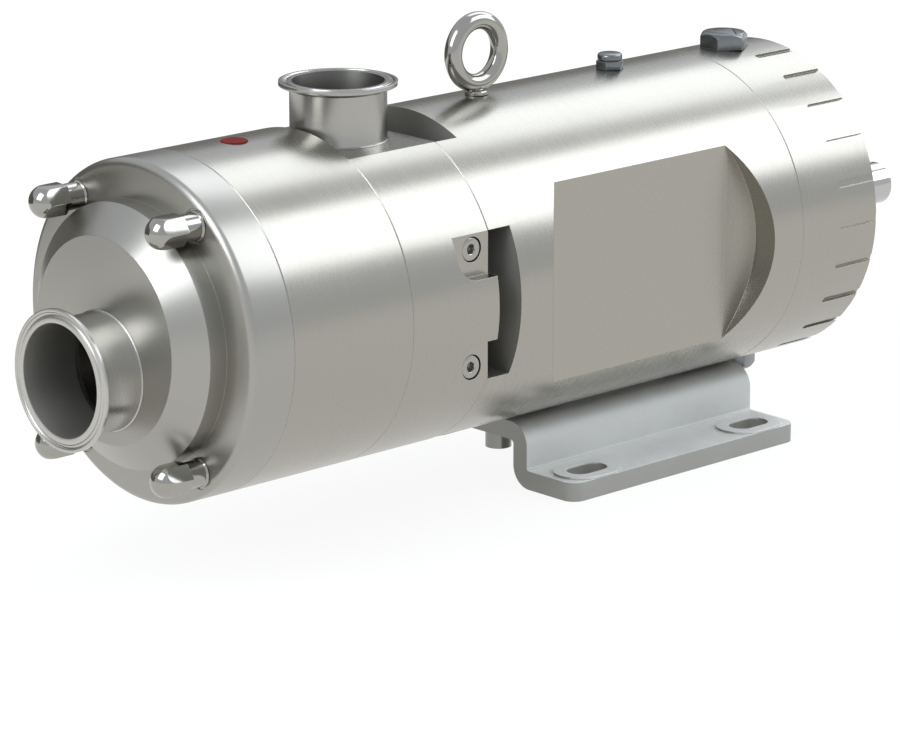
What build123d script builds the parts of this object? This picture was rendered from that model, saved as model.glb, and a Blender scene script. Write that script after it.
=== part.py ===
from build123d import *
import math
import os

# Twin screw pump. The row origin is the middle of the pump's length and width, on the floor.
# +X points to the drive end, +Z is up. Lengths are millimetres, angles are degrees.

# Body stack along X
AXIS_HEIGHT = 158.0
BODY_RADIUS = 111.0
SHAFT_SPACING = 76.0
HOUSING_LENGTH = 288.5
REAR_COVER_LENGTH = 76.5
OUTLET_CASING_LENGTH = 75.0
SCREW_CASING_LENGTH = 99.5
COVER_RIM_LENGTH = 33.6
EDGE_BREAK = 0.5

# Clearances
FIT = 0.05
RUNNING_GAP = 0.3
SCREW_HEAD_GAP = 0.4

# Screws: two starts each, one of each hand
SCREW_RADIUS = 46.0
SCREW_LEAD = 76.0
SCREW_STARTS = 2
SCREW_END_GAP = 2.5
SCREW_SIDE_GAP = 0.45

# Front cover
COVER_CHAMFER = 4.0
HUB_RADIUS = 85.5
HUB_LENGTH = 13.4
CONE_RADIUS = 66.8
CONE_LENGTH = 15.0
COVER_WALL = 9.0
NECK_DROP = 19.3
STUD_OFFSET_Y = 57.5
STUD_OFFSET_Z = 79.0
STUD_RADIUS = 6.0
STUD_DEPTH = 26.0

# Domed nuts on the cover studs
NUT_FLATS = 19.0
NUT_LENGTH = 36.0
NUT_COLLAR_RADIUS = 8.8
NUT_COLLAR_LENGTH = 11.0
NUT_FLANGE = 0.9
NUT_FLANGE_WIDTH = 1.6
NUT_SEAT_RADIUS = 11.0
NUT_SEAT_DEPTH = 0.6
NOSE_ANGLE = 40.0

# Clamp ferrules: 3 inch inlet and 2.5 inch outlet
INLET_TUBE_RADIUS = 38.1
INLET_BORE_RADIUS = 36.45
INLET_FLANGE_RADIUS = 45.5
INLET_REACH = 35.0
OUTLET_TUBE_RADIUS = 31.75
OUTLET_BORE_RADIUS = 30.1
OUTLET_FLANGE_RADIUS = 38.75
OUTLET_INSET = 39.0
OUTLET_TOP = 138.0
FLANGE_RIM = 2.85
FLANGE_ANGLE = 20.0
GASKET_GROOVE_RADIUS = 1.6
GASKET_GROOVE_DEPTH = 1.4
GASKET_GROOVE_INSET = 3.6
WELD_HEIGHT = 1.2
WELD_REACH = 1.6
SOCKET_DEPTH = 6.0
PORT_STEP = 0.5

# Outlet casing
TOP_FLAT = 99.2
CHAMBER_HALF_HEIGHT = 42.0
CHAMBER_HALF_WIDTH = 76.0
SEAL_WALL = 12.0
PAD_Y = 99.5
PAD_LENGTH = 32.0
PAD_TAB = 21.0
PAD_CORNER = 14.0
CASING_SCREW_RADIUS = 5.0
CASING_SCREW_HEAD = 8.0
CASING_SCREW_X = 14.5
CASING_SCREW_Z = 39.0
CASING_SCREW_SINK = 10.5
SOCKET_SHARE = 0.5

# Red marker on the crown of the screw casing
MARKER_RADIUS = 8.9
MARKER_X = 47.0
MARKER_SINK = 3.0
MARKER_STAND = 0.6

# Window gap between the outlet casing and the bearing housing
WINDOW_LENGTH = 19.0
WINDOW_HALF_WIDTH = 49.8
WINDOW_HALF_HEIGHT = 49.3
LUG_INNER = 82.0
LUG_OUTER = 92.0
LUG_HALF_HEIGHT = 62.0
LUG_REACH = 26.0
LUG_HOLD = 0.9

# Bearing housing
FRONT_WALL = 31.0
CHAMBER_RADIUS = 90.0
PANEL_Y = 88.0
PANEL_WALL = 9.0
PANEL_FRONT = 70.5
PANEL_LENGTH = 162.0
PANEL_END = 27.0
PANEL_SCOOP_RADIUS = 75.0
BOTTOM_PAD_HALF_WIDTH = 17.0
BOTTOM_PAD_FRONT = 144.0
BOTTOM_PAD_LENGTH = 106.0
PAD_DROP = 2.0
CARRIER_RADIUS = 92.0
CARRIER_THICKNESS = 24.0
CARRIER_SCREW_RADIUS = 3.0
CARRIER_SCREW_HEAD = 5.5
CARRIER_SCREW_BITE = 10.0
CARRIER_SCREW_Y = 83.0
CARRIER_SCREW_Z = 18.0

# Rear cover
COVER_GROOVES = 24
GROOVE_LENGTH = 39.0
GROOVE_WIDTH = 5.0
GROOVE_DEPTH = 2.0
REAR_WALL = 27.0
REAR_BORE_RADIUS = 90.0
REAR_EDGE_CHAMFER = 2.0
COVER_SCREW_CIRCLE = 100.5
COVER_SCREWS = 8
COVER_SCREW_RADIUS = 4.0
COVER_SCREW_HEAD = 6.5
COVER_SCREW_GRIP = 66.0
COVER_SCREW_BITE = 17.0

# Shafts and their seats
SHAFT_RADIUS = 17.5
SCREW_SEAT_RADIUS = 15.0
SHAFT_SHOULDER = 22.0
DRIVE_END_RADIUS = 15.0
DRIVE_END_REACH = 81.5
KEY_WIDTH = 8.0
KEY_HEIGHT = 7.0
KEY_SINK = 4.0
COUPLING_KEY_LENGTH = 50.0
COUPLING_KEY_INSET = 5.0
COUPLING_KEY_TURN = -90.0
THREAD_RADIUS = 10.0
THREAD_LENGTH = 14.0
SCREW_NUT_FLATS = 34.0
SCREW_NUT_LENGTH = 17.0
SCREW_KEY_LENGTH = 60.0
GEAR_SEAT_RADIUS = 16.0
GEAR_KEY_LENGTH = 20.0
SHOULDER_GAP = 0.5

# Mechanical seals and the oil seals
SEAT_RADIUS = 25.0
SEAT_BORE_GAP = 1.0
SEAL_HEAD_RADIUS = 24.0
SEAL_FACE_RADIUS = 22.0
SEAL_HEAD_LENGTH = 22.0
SEAL_FACE_LENGTH = 4.0
SEAL_FACE_GAP = 0.1
GLAND_THICKNESS = 7.0
GLAND_LAND = 8.0
GLAND_SCREW_RADIUS = 3.0
GLAND_SCREW_HEAD = 5.0
GLAND_SCREW_BITE = 8.0
LIP_SEAL_RADIUS = 26.0
LIP_SEAL_WIDTH = 10.0
REAR_SEAL_RADIUS = 23.5
REAR_SEAL_WIDTH = 8.0

# Bearings
BEARING_RADIUS = 36.0
BEARING_WIDTH = 17.0
BEARING_PITCH = 26.75
ROLLER_RADIUS = 4.5
ROLLERS = 10
BEARING_LAND = 24.0
BEARING_LIP = 3.0
OUTBOARD_RADIUS = 31.0
OUTBOARD_WIDTH = 16.0
OUTBOARD_LAND = 21.0

# Timing gears
GEAR_TEETH = 19
GEAR_WIDTH = 24.0
GEAR_GAP = 11.5
PRESSURE_ANGLE = 20.0
GEAR_BACKLASH = 0.5
LOCKNUT_WIDTH = 7.0
LOCKNUT_RADIUS = 24.0
LOCKNUT_SLOT = 6.0

# Plugs and the eyebolt
EYE_X = 84.0
EYE_OUTER = 27.0
EYE_SECTION = 6.0
EYE_RISE = 28.7
EYE_COLLAR_RADIUS = 8.0
EYE_COLLAR_HEIGHT = 4.0
EYE_SHANK_RADIUS = 6.0
EYE_SHANK = 16.0
BREATHER_X = 210.0
BREATHER_FLATS = 17.0
BREATHER_THREAD = 5.0
BREATHER_BASE = 6.0
BREATHER_CAP = 5.0
FILLER_X = 35.0
PLUG_FLATS = 30.0
PLUG_HEAD = 11.0
PLUG_THREAD = 10.0
PLUG_SEAT_RADIUS = 18.0
FILLER_SINK = 0.5
DRAIN_X = 48.0
DRAIN_BOSS = 1.5

# Foot: one bent plate, whose far leg starts further back than its near leg
FOOT_THICKNESS = 13.0
FOOT_INSET = 95.5
FOOT_OVERHANG = 28.0
FOOT_WEB = 38.0
FOOT_HALF_WIDTH = 83.2
FOOT_BEND = 16.0
FOOT_CREASE = 2.0
FOOT_CORNER = 10.0
FOOT_BEND_SHARE = 0.8
FAR_LEG_LENGTH = 126.5
SLOT_INSET = 30.5
SLOT_Y = 65.0
FAR_SLOT_SPACING = 60.0
SLOT_WIDTH = 18.0
SLOT_LENGTH = 32.0
SLOT_LAND = 9.0
SLOT_LAND_HEIGHT = 1.5
FOOT_BOLT_RADIUS = 6.0
FOOT_BOLT_HEAD = 9.0
FOOT_BOLT_HEAD_HEIGHT = 11.0
FOOT_BOLT_INSET = 9.9
FOOT_BOLT_BACK = 20.5
FOOT_BOLT_BOSS = 12.0
FOOT_BOLT_GRIP = 14.0
FOOT_BOLT_GAP = 0.75

# Places that follow from the sizes above
HALF_SPACING = SHAFT_SPACING / 2
WET_END_LENGTH = (
    INLET_REACH + CONE_LENGTH + HUB_LENGTH + COVER_RIM_LENGTH + SCREW_CASING_LENGTH + OUTLET_CASING_LENGTH)
DRY_END_LENGTH = HOUSING_LENGTH + REAR_COVER_LENGTH + DRIVE_END_REACH
HOUSING_FRONT = (WET_END_LENGTH - DRY_END_LENGTH) / 2
OUTLET_X = HOUSING_FRONT - OUTLET_INSET
X_OUTLET = HOUSING_FRONT - OUTLET_CASING_LENGTH
X_SCREWS = X_OUTLET - SCREW_CASING_LENGTH
X_FACE = X_SCREWS - COVER_RIM_LENGTH
X_HUB = X_FACE - HUB_LENGTH
X_CONE = X_HUB - CONE_LENGTH
X_WINDOW = HOUSING_FRONT + WINDOW_LENGTH
X_CAVITY = X_WINDOW + FRONT_WALL
X_HOUSING_END = HOUSING_FRONT + HOUSING_LENGTH
X_CARRIER = X_HOUSING_END - CARRIER_THICKNESS
X_GEARS = X_HOUSING_END + GEAR_GAP
X_END = X_HOUSING_END + REAR_COVER_LENGTH
X_REAR_WALL = X_END - REAR_WALL
DRIVE_END_X = X_END + DRIVE_END_REACH
FOOT_FRONT = HOUSING_FRONT + FOOT_INSET
FOOT_REAR = X_HOUSING_END + FOOT_OVERHANG
FOOT_BOLT_PLACES = (FOOT_FRONT + FOOT_BOLT_INSET, X_HOUSING_END - FOOT_BOLT_BACK)
X_SEAT = HOUSING_FRONT - SEAL_WALL
X_SCREW_START = X_SCREWS + SCREW_END_GAP
X_SCREW_STOP = X_OUTLET - SCREW_END_GAP
X_REAR_BEARING = X_CARRIER + (CARRIER_THICKNESS - BEARING_WIDTH) / 2
X_FRONT_BEARING = X_CAVITY - BEARING_WIDTH
BORE_RADIUS = SCREW_RADIUS + RUNNING_GAP
ROOT_RADIUS = SHAFT_SPACING - BORE_RADIUS
FILLER_SEAT = BODY_RADIUS - FILLER_SINK
DECK_TOP = AXIS_HEIGHT - BODY_RADIUS - PAD_DROP
SEAL_RING_RADIUS = HALF_SPACING + BORE_RADIUS + 3.7
SEAL_RING_SECTION = 1.6
REAR_RING_RADIUS = CARRIER_RADIUS + 2.2
REAR_RING_SECTION = 1.2
STUDS = [(sy * STUD_OFFSET_Y, sz * STUD_OFFSET_Z) for sy in (-1, 1) for sz in (-1, 1)]
SHAFT_SIDES = {"drive": -HALF_SPACING, "idler": HALF_SPACING}


def rod(x0, x1, radius, y=0.0, z=0.0):
    """Cylinder along X. Heights are measured from the pump axis."""
    return Pos((x0 + x1) / 2, y, AXIS_HEIGHT + z) * Rot(0, 90, 0) * Cylinder(radius, x1 - x0)


def post(z0, z1, radius, x, y=0.0):
    """Upright cylinder between two heights over the pump axis."""
    return Pos(x, y, AXIS_HEIGHT + (z0 + z1) / 2) * Cylinder(radius, z1 - z0)


def cross(y0, y1, radius, x, z):
    """Cylinder along Y."""
    return Pos(x, (y0 + y1) / 2, AXIS_HEIGHT + z) * Rot(90, 0, 0) * Cylinder(radius, abs(y1 - y0))


def block(x0, x1, y0, y1, z0, z1):
    """Box between two corners, heights over the pump axis."""
    size = Box(x1 - x0, y1 - y0, z1 - z0)
    return Pos((x0 + x1) / 2, (y0 + y1) / 2, AXIS_HEIGHT + (z0 + z1) / 2) * size


def turned(profile, y=0.0, z=0.0):
    """Body of revolution about a line along X, from its (x, radius) corners."""
    section = make_face(Polyline(*profile, close=True))
    return Pos(0, y, AXIS_HEIGHT + z) * revolve(section, Axis.X)


def body_ring(x0, x1):
    """Solid disc of the body's size, with both rims broken."""
    low = BODY_RADIUS - EDGE_BREAK
    return turned([
        (x0, 0), (x0, low), (x0 + EDGE_BREAK, BODY_RADIUS), (x1 - EDGE_BREAK, BODY_RADIUS), (x1, low), (x1, 0)])


def ring(x0, x1, outer, inner, y=0.0, z=0.0):
    """Plain ring along X."""
    return turned([(x0, inner), (x1, inner), (x1, outer), (x0, outer)], y, z)


def nosed_hexagon(x0, x1, flats, y=0.0, z=0.0):
    """Hexagonal prism along X with its front end turned to a cone."""
    section = RegularPolygon(flats / 2, 6, major_radius=False)
    prism = extrude(Plane.YZ.offset(x0) * Pos(y, AXIS_HEIGHT + z) * section, x1 - x0)
    corner = flats / math.sqrt(3)
    nose = x0 + (corner - flats / 2) * math.tan(math.radians(NOSE_ANGLE))
    return prism & turned([(x0, 0), (x0, flats / 2), (nose, corner), (x1, corner), (x1, 0)], y, z)


def o_ring(x, radius, section):
    """Rubber ring about the pump axis, squeezed to fill its groove."""
    return ring(x - section, x + section, radius + section, radius - section)


def both_shafts(make):
    """One copy of a piece on each shaft line, kept as separate solids."""
    return Compound(children=[make(y) for y in SHAFT_SIDES.values()])


def flange_drop(tube_radius, flange_radius):
    """Height of the clamp cone under a ferrule's rim."""
    return (flange_radius - tube_radius) * math.tan(math.radians(FLANGE_ANGLE))


def ferrule(tube_radius, bore_radius, flange_radius, reach):
    """Clamp ferrule standing on z = 0, let into its socket, with its weld bead."""
    under = reach - FLANGE_RIM
    neck = under - flange_drop(tube_radius, flange_radius)
    edge = FLANGE_RIM / 5
    groove = flange_radius - GASKET_GROOVE_INSET
    outline = Polyline(
        (bore_radius, -SOCKET_DEPTH),
        (tube_radius, -SOCKET_DEPTH),
        (tube_radius, 0),
        (tube_radius + WELD_REACH, 0),
        (tube_radius, WELD_HEIGHT),
        (tube_radius, neck),
        (flange_radius - edge, under),
        (flange_radius, under + edge),
        (flange_radius, reach - edge),
        (flange_radius - edge, reach),
        (groove + GASKET_GROOVE_RADIUS, reach),
        (groove + GASKET_GROOVE_RADIUS / 2, reach - GASKET_GROOVE_DEPTH),
        (groove - GASKET_GROOVE_RADIUS / 2, reach - GASKET_GROOVE_DEPTH),
        (groove - GASKET_GROOVE_RADIUS, reach),
        (bore_radius, reach),
        close=True,
    )
    return revolve(Plane.XZ * make_face(outline), Axis.Z)


def inlet_ferrule():
    neck = ferrule(INLET_TUBE_RADIUS, INLET_BORE_RADIUS, INLET_FLANGE_RADIUS, INLET_REACH)
    return Pos(X_CONE, 0, AXIS_HEIGHT - NECK_DROP) * Rot(0, -90, 0) * neck


def outlet_ferrule():
    reach = OUTLET_TOP - TOP_FLAT
    neck = ferrule(OUTLET_TUBE_RADIUS, OUTLET_BORE_RADIUS, OUTLET_FLANGE_RADIUS, reach)
    return Pos(OUTLET_X, 0, AXIS_HEIGHT + TOP_FLAT) * neck


def front_cover():
    """Round cover with a stepped hub, hollow behind it as the suction chamber."""
    outside = turned([
        (X_SCREWS, 0),
        (X_SCREWS, BODY_RADIUS - EDGE_BREAK),
        (X_SCREWS - EDGE_BREAK, BODY_RADIUS),
        (X_FACE + COVER_CHAMFER, BODY_RADIUS),
        (X_FACE, BODY_RADIUS - COVER_CHAMFER),
        (X_FACE, HUB_RADIUS),
        (X_HUB, HUB_RADIUS),
        (X_CONE, CONE_RADIUS),
        (X_CONE, 0),
    ])
    mouth = HALF_SPACING + BORE_RADIUS
    chamber = turned([
        (X_SCREWS, 0),
        (X_SCREWS, mouth),
        (X_FACE + COVER_WALL, mouth),
        (X_FACE, HUB_RADIUS - COVER_WALL),
        (X_HUB, HUB_RADIUS - COVER_WALL),
        (X_CONE + COVER_WALL, CONE_RADIUS - COVER_WALL),
        (X_CONE + COVER_WALL, 0),
    ])
    cover = outside - chamber
    cover -= rod(X_CONE, X_CONE + SOCKET_DEPTH, INLET_TUBE_RADIUS, z=-NECK_DROP)
    cover -= rod(X_CONE, X_HUB + COVER_WALL, INLET_BORE_RADIUS + PORT_STEP, z=-NECK_DROP)
    for y, z in STUDS:
        cover -= rod(X_FACE, X_SCREWS, STUD_RADIUS + FIT, y, z)
        cover -= rod(X_FACE, X_FACE + NUT_SEAT_DEPTH, NUT_SEAT_RADIUS, y, z)
    return cover


def cover_studs():
    tip = X_FACE + NUT_SEAT_DEPTH - NUT_LENGTH + NUT_FLATS
    return Compound(children=[rod(tip, X_OUTLET + STUD_DEPTH, STUD_RADIUS, y, z) for y, z in STUDS])


def dome_nut(y, z):
    """Long collar, hexagon and dome, with a blind hole for the stud."""
    seat = X_FACE + NUT_SEAT_DEPTH
    crown = seat - NUT_LENGTH
    dome = NUT_FLATS / 2
    collar = turned([
        (seat, 0),
        (seat, NUT_COLLAR_RADIUS + NUT_FLANGE),
        (seat - NUT_FLANGE_WIDTH, NUT_COLLAR_RADIUS + NUT_FLANGE),
        (seat - NUT_FLANGE_WIDTH - NUT_FLANGE, NUT_COLLAR_RADIUS),
        (seat - NUT_COLLAR_LENGTH, NUT_COLLAR_RADIUS),
        (seat - NUT_COLLAR_LENGTH, 0),
    ], y, z)
    flats = nosed_hexagon(crown + dome, seat - NUT_COLLAR_LENGTH, NUT_FLATS, y, z)
    end = Pos(crown + dome, y, AXIS_HEIGHT + z) * Rot(0, 90, 0) * Sphere(dome)
    nut = collar + flats + end
    return nut - rod(crown + NUT_FLATS, seat, STUD_RADIUS, y, z)


def dome_nuts():
    return Compound(children=[dome_nut(y, z) for y, z in STUDS])


def cover_seal():
    return o_ring(X_SCREWS + SEAL_RING_SECTION, SEAL_RING_RADIUS, SEAL_RING_SECTION)


def casing_seal():
    return o_ring(X_OUTLET - SEAL_RING_SECTION, SEAL_RING_RADIUS, SEAL_RING_SECTION)


def screw_casing():
    """Middle ring, bored as two meeting circles for the screws."""
    casing = body_ring(X_SCREWS, X_OUTLET)
    for y in SHAFT_SIDES.values():
        casing -= rod(X_SCREWS, X_OUTLET, BORE_RADIUS, y)
    for y, z in STUDS:
        casing -= rod(X_SCREWS, X_OUTLET, STUD_RADIUS + FIT, y, z)
    inner = SEAL_RING_RADIUS - SEAL_RING_SECTION
    outer = SEAL_RING_RADIUS + SEAL_RING_SECTION
    casing -= ring(X_SCREWS, X_SCREWS + 2 * SEAL_RING_SECTION, outer, inner)
    casing -= ring(X_OUTLET - 2 * SEAL_RING_SECTION, X_OUTLET, outer, inner)
    casing -= post(BODY_RADIUS - MARKER_SINK, BODY_RADIUS + 1, MARKER_RADIUS, X_SCREWS + MARKER_X)
    return casing


def marker_plug():
    """Red marker, pressed into the crown with a low domed face."""
    floor = BODY_RADIUS - MARKER_SINK
    top = BODY_RADIUS + MARKER_STAND
    plug = post(floor, top, MARKER_RADIUS, X_SCREWS + MARKER_X)
    return chamfer(plug.edges().group_by(Axis.Z)[-1], MARKER_STAND * 0.8)


def side_pad(side, level):
    """Cutter for one milled pad beside a window, with a rounded inner corner."""
    inner = PAD_TAB
    outer = BODY_RADIUS
    middle = (inner + outer) / 2
    section = Rectangle(PAD_LENGTH + PAD_CORNER, outer - inner)
    edges = section.vertices().group_by(Axis.X)[0].sort_by(Axis.Y)
    low = edges[0] if level > 0 else edges[-1]
    section = fillet(low, PAD_CORNER)
    cutter = extrude(section, BODY_RADIUS - PAD_Y + 1, both=False)
    upright = Rot(90, 0, 0) * cutter if side < 0 else Rot(90, 0, 0) * Pos(0, 0, PAD_Y - BODY_RADIUS - 1) * cutter
    x = HOUSING_FRONT - PAD_LENGTH + (PAD_LENGTH + PAD_CORNER) / 2
    return Pos(x, side * PAD_Y, AXIS_HEIGHT + level * middle) * upright


def casing_screw_places():
    """Side, height and X of each casing screw."""
    x = HOUSING_FRONT - CASING_SCREW_X
    return [(side, level * CASING_SCREW_Z, x) for side in (-1, 1) for level in (-1, 1)]


def outlet_casing():
    """Rear ring of the wet end, with the outlet, the seal wall and the lug groove."""
    casing = body_ring(X_OUTLET, HOUSING_FRONT)
    casing -= block(X_OUTLET, HOUSING_FRONT, -BODY_RADIUS, BODY_RADIUS, TOP_FLAT, BODY_RADIUS)
    centres = 2 * (CHAMBER_HALF_WIDTH - CHAMBER_HALF_HEIGHT)
    chamber = Plane.YZ.offset(X_OUTLET) * Pos(0, AXIS_HEIGHT) * SlotCenterToCenter(
        centres, 2 * CHAMBER_HALF_HEIGHT)
    casing -= extrude(chamber, X_SEAT - X_OUTLET)
    casing -= post(0, TOP_FLAT, OUTLET_BORE_RADIUS + PORT_STEP, OUTLET_X)
    casing -= post(TOP_FLAT - SOCKET_DEPTH, TOP_FLAT, OUTLET_TUBE_RADIUS, OUTLET_X)
    for y in SHAFT_SIDES.values():
        casing -= rod(X_SEAT, HOUSING_FRONT, SEAT_RADIUS, y)
    for y, z in STUDS:
        casing -= rod(X_OUTLET, X_OUTLET + STUD_DEPTH, STUD_RADIUS, y, z)
    for y, z in gland_screw_places():
        casing -= rod(HOUSING_FRONT - GLAND_SCREW_BITE, HOUSING_FRONT, GLAND_SCREW_RADIUS, y, z)
    groove = ring(HOUSING_FRONT - LUG_REACH - FIT, HOUSING_FRONT, LUG_OUTER + FIT, LUG_INNER - FIT)
    reach = LUG_HALF_HEIGHT + FIT
    casing -= groove & block(X_OUTLET, HOUSING_FRONT, -BODY_RADIUS, BODY_RADIUS, -reach, reach)
    for side in (-1, 1):
        for level in (-1, 1):
            casing -= side_pad(side, level)
    for side, z, x in casing_screw_places():
        casing -= cross(side * PAD_Y, side * (PAD_Y - CASING_SCREW_SINK), CASING_SCREW_HEAD + SCREW_HEAD_GAP, x, z)
        casing -= cross(side * PAD_Y, side * LUG_INNER * LUG_HOLD, CASING_SCREW_RADIUS + FIT, x, z)
    return casing


def cap_screw(head_radius, head_height, shank_radius, grip):
    """Socket head screw standing on z = 0, its shank pointing down."""
    head = Pos(0, 0, head_height / 2) * Cylinder(head_radius, head_height)
    socket = extrude(RegularPolygon(head_radius * SOCKET_SHARE, 6, major_radius=False), head_height)
    head -= Pos(0, 0, head_height * SOCKET_SHARE) * socket
    return head + Pos(0, 0, -grip / 2) * Cylinder(shank_radius, grip)


def casing_screws():
    """Socket head screws in the side pads, which hold the housing's lugs."""
    seat = PAD_Y - CASING_SCREW_SINK
    grip = seat - LUG_INNER * LUG_HOLD
    screw = cap_screw(CASING_SCREW_HEAD, CASING_SCREW_SINK - SCREW_HEAD_GAP, CASING_SCREW_RADIUS, grip)
    places = casing_screw_places()
    return Compound(children=[
        Pos(x, side * seat, AXIS_HEIGHT + z) * Rot(-90 * side, 0, 0) * screw for side, z, x in places])


def gland_screw_places():
    """Three screws beside each shaft, clear of the other shaft."""
    reach = SEAT_RADIUS + GLAND_LAND / 2
    places = []
    for y in SHAFT_SIDES.values():
        out = 180 if y < 0 else 0
        for turn in (-60, 0, 60):
            angle = math.radians(out + turn)
            places.append((y + reach * math.cos(angle), reach * math.sin(angle)))
    return places


def outline_of_two(x, radius, thickness):
    """Plate along X whose outline is two circles on the shaft lines and their tangents."""
    plate = Plane.YZ.offset(x) * Pos(0, AXIS_HEIGHT) * SlotCenterToCenter(SHAFT_SPACING, 2 * radius)
    return extrude(plate, thickness)


def gland_plate():
    """Plate that holds both seal seats in the casing wall."""
    plate = outline_of_two(HOUSING_FRONT, SEAT_RADIUS + GLAND_LAND, GLAND_THICKNESS)
    for y in SHAFT_SIDES.values():
        plate -= rod(HOUSING_FRONT, HOUSING_FRONT + GLAND_THICKNESS, SHAFT_RADIUS + 2 * SEAT_BORE_GAP, y)
    for y, z in gland_screw_places():
        plate -= rod(HOUSING_FRONT, HOUSING_FRONT + GLAND_THICKNESS, GLAND_SCREW_RADIUS, y, z)
    return plate


def gland_screws():
    screw = cap_screw(GLAND_SCREW_HEAD, GLAND_SCREW_HEAD, GLAND_SCREW_RADIUS, GLAND_THICKNESS + GLAND_SCREW_BITE)
    seat = HOUSING_FRONT + GLAND_THICKNESS
    return Compound(children=[
        Pos(seat, y, AXIS_HEIGHT + z) * Rot(0, 90, 0) * screw for y, z in gland_screw_places()])


def seal_seats():
    """Fixed rings of the mechanical seals, let into the casing wall."""
    bore = SHAFT_RADIUS + SEAT_BORE_GAP
    return both_shafts(lambda y: ring(X_SEAT, HOUSING_FRONT, SEAT_RADIUS, bore, y))


def panel_cutter():
    """Flat panel on the -Y side: its front wall slants out at 45 degrees, its rear runs out in a scoop."""
    x0 = HOUSING_FRONT + PANEL_FRONT
    x1 = x0 + PANEL_LENGTH
    x2 = x1 + PANEL_END
    far = 2 * BODY_RADIUS
    chord = math.sqrt(BODY_RADIUS ** 2 - PANEL_Y ** 2)
    rise = PANEL_SCOOP_RADIUS - math.sqrt(PANEL_SCOOP_RADIUS ** 2 - PANEL_END ** 2)
    bend = PANEL_SCOOP_RADIUS - math.sqrt(PANEL_SCOOP_RADIUS ** 2 - PANEL_END ** 2 / 4)
    slant = x0 - (far - PANEL_Y)
    plan = make_face([
        Line((x0, -PANEL_Y), (x1, -PANEL_Y)),
        ThreePointArc((x1, -PANEL_Y), (x1 + PANEL_END / 2, -PANEL_Y - bend), (x2, -PANEL_Y - rise)),
        Polyline((x2, -PANEL_Y - rise), (x2, -far), (slant, -far), (x0, -PANEL_Y)),
    ])
    cut = Pos(0, 0, AXIS_HEIGHT - BODY_RADIUS) * extrude(plan, 2 * BODY_RADIUS)
    contour_radius = (chord ** 2 + PANEL_END ** 2) / (2 * PANEL_END)
    contour = cross(-far, 0, contour_radius, x2 - contour_radius, 0)
    flat_part = block(slant, x1, -far, 0, -BODY_RADIUS, BODY_RADIUS)
    return cut & (flat_part + contour)


def bearing_housing():
    """Long body: window gap with four webs, lugs for the casing, bearing walls and oil chamber."""
    body = body_ring(HOUSING_FRONT, X_HOUSING_END)
    lug_front = HOUSING_FRONT - LUG_REACH
    lugs = ring(lug_front, X_WINDOW, LUG_OUTER, LUG_INNER)
    body += lugs & block(lug_front, X_WINDOW, -BODY_RADIUS, BODY_RADIUS, -LUG_HALF_HEIGHT, LUG_HALF_HEIGHT)
    reach = 2 * BODY_RADIUS
    body -= block(HOUSING_FRONT, X_WINDOW, -WINDOW_HALF_WIDTH, WINDOW_HALF_WIDTH, -reach, reach)
    body -= block(HOUSING_FRONT, X_WINDOW, -reach, reach, -WINDOW_HALF_HEIGHT, WINDOW_HALF_HEIGHT)
    pad_y = BOTTOM_PAD_HALF_WIDTH
    pad_x = X_HOUSING_END - BOTTOM_PAD_FRONT
    body += block(pad_x, pad_x + BOTTOM_PAD_LENGTH, -pad_y, pad_y, -BODY_RADIUS - PAD_DROP, -CHAMBER_RADIUS)
    for x in FOOT_BOLT_PLACES:
        body += post(-BODY_RADIUS - PAD_DROP, -CHAMBER_RADIUS - 1, FOOT_BOLT_BOSS, x)
    chamber = rod(X_CAVITY, X_CARRIER, CHAMBER_RADIUS)
    side = PANEL_Y - PANEL_WALL
    body -= chamber & block(X_CAVITY, X_CARRIER, -side, side, -reach, reach)
    body -= rod(X_CARRIER, X_HOUSING_END, CARRIER_RADIUS)
    for y in SHAFT_SIDES.values():
        body -= rod(X_WINDOW, X_WINDOW + LIP_SEAL_WIDTH, LIP_SEAL_RADIUS, y)
        body -= rod(X_WINDOW, X_CAVITY, SHAFT_RADIUS + 1.5, y)
        body -= rod(X_FRONT_BEARING, X_CAVITY, BEARING_RADIUS, y)
    body -= panel_cutter()
    body -= ring(X_HOUSING_END - 2 * REAR_RING_SECTION, X_HOUSING_END,
                 REAR_RING_RADIUS + REAR_RING_SECTION, REAR_RING_RADIUS - REAR_RING_SECTION)
    for y, z in cover_screw_places():
        body -= rod(X_HOUSING_END - COVER_SCREW_BITE, X_HOUSING_END, COVER_SCREW_RADIUS, y, z)
    for y, z in carrier_screw_places():
        body -= rod(X_CARRIER - CARRIER_SCREW_BITE, X_CARRIER, CARRIER_SCREW_RADIUS, y, z)
    for side, z, x in casing_screw_places():
        body -= cross(side * LUG_INNER * LUG_HOLD, side * BODY_RADIUS, CASING_SCREW_RADIUS, x, z)
    for x in FOOT_BOLT_PLACES:
        floor = -BODY_RADIUS - PAD_DROP
        body -= post(floor, floor + FOOT_BOLT_GRIP, FOOT_BOLT_RADIUS, x)
    body -= post(BODY_RADIUS - EYE_SHANK, BODY_RADIUS, EYE_SHANK_RADIUS, HOUSING_FRONT + EYE_X)
    body -= post(CHAMBER_RADIUS - 1, BODY_RADIUS, BREATHER_THREAD, HOUSING_FRONT + BREATHER_X)
    return body


def lip_seals():
    """Oil seals at the window gap, one on each shaft."""
    x1 = X_WINDOW + LIP_SEAL_WIDTH
    lip = SHAFT_RADIUS + FIT

    def seal(y):
        return turned([
            (X_WINDOW, lip + 3), (X_WINDOW, LIP_SEAL_RADIUS), (x1, LIP_SEAL_RADIUS),
            (x1, LIP_SEAL_RADIUS - 2), (X_WINDOW + 3, LIP_SEAL_RADIUS - 2),
            (X_WINDOW + 4, lip + 2), (x1 - 1, lip + 2), (x1 - 1, lip), (X_WINDOW + 5, lip),
        ], y)
    return both_shafts(seal)


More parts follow.
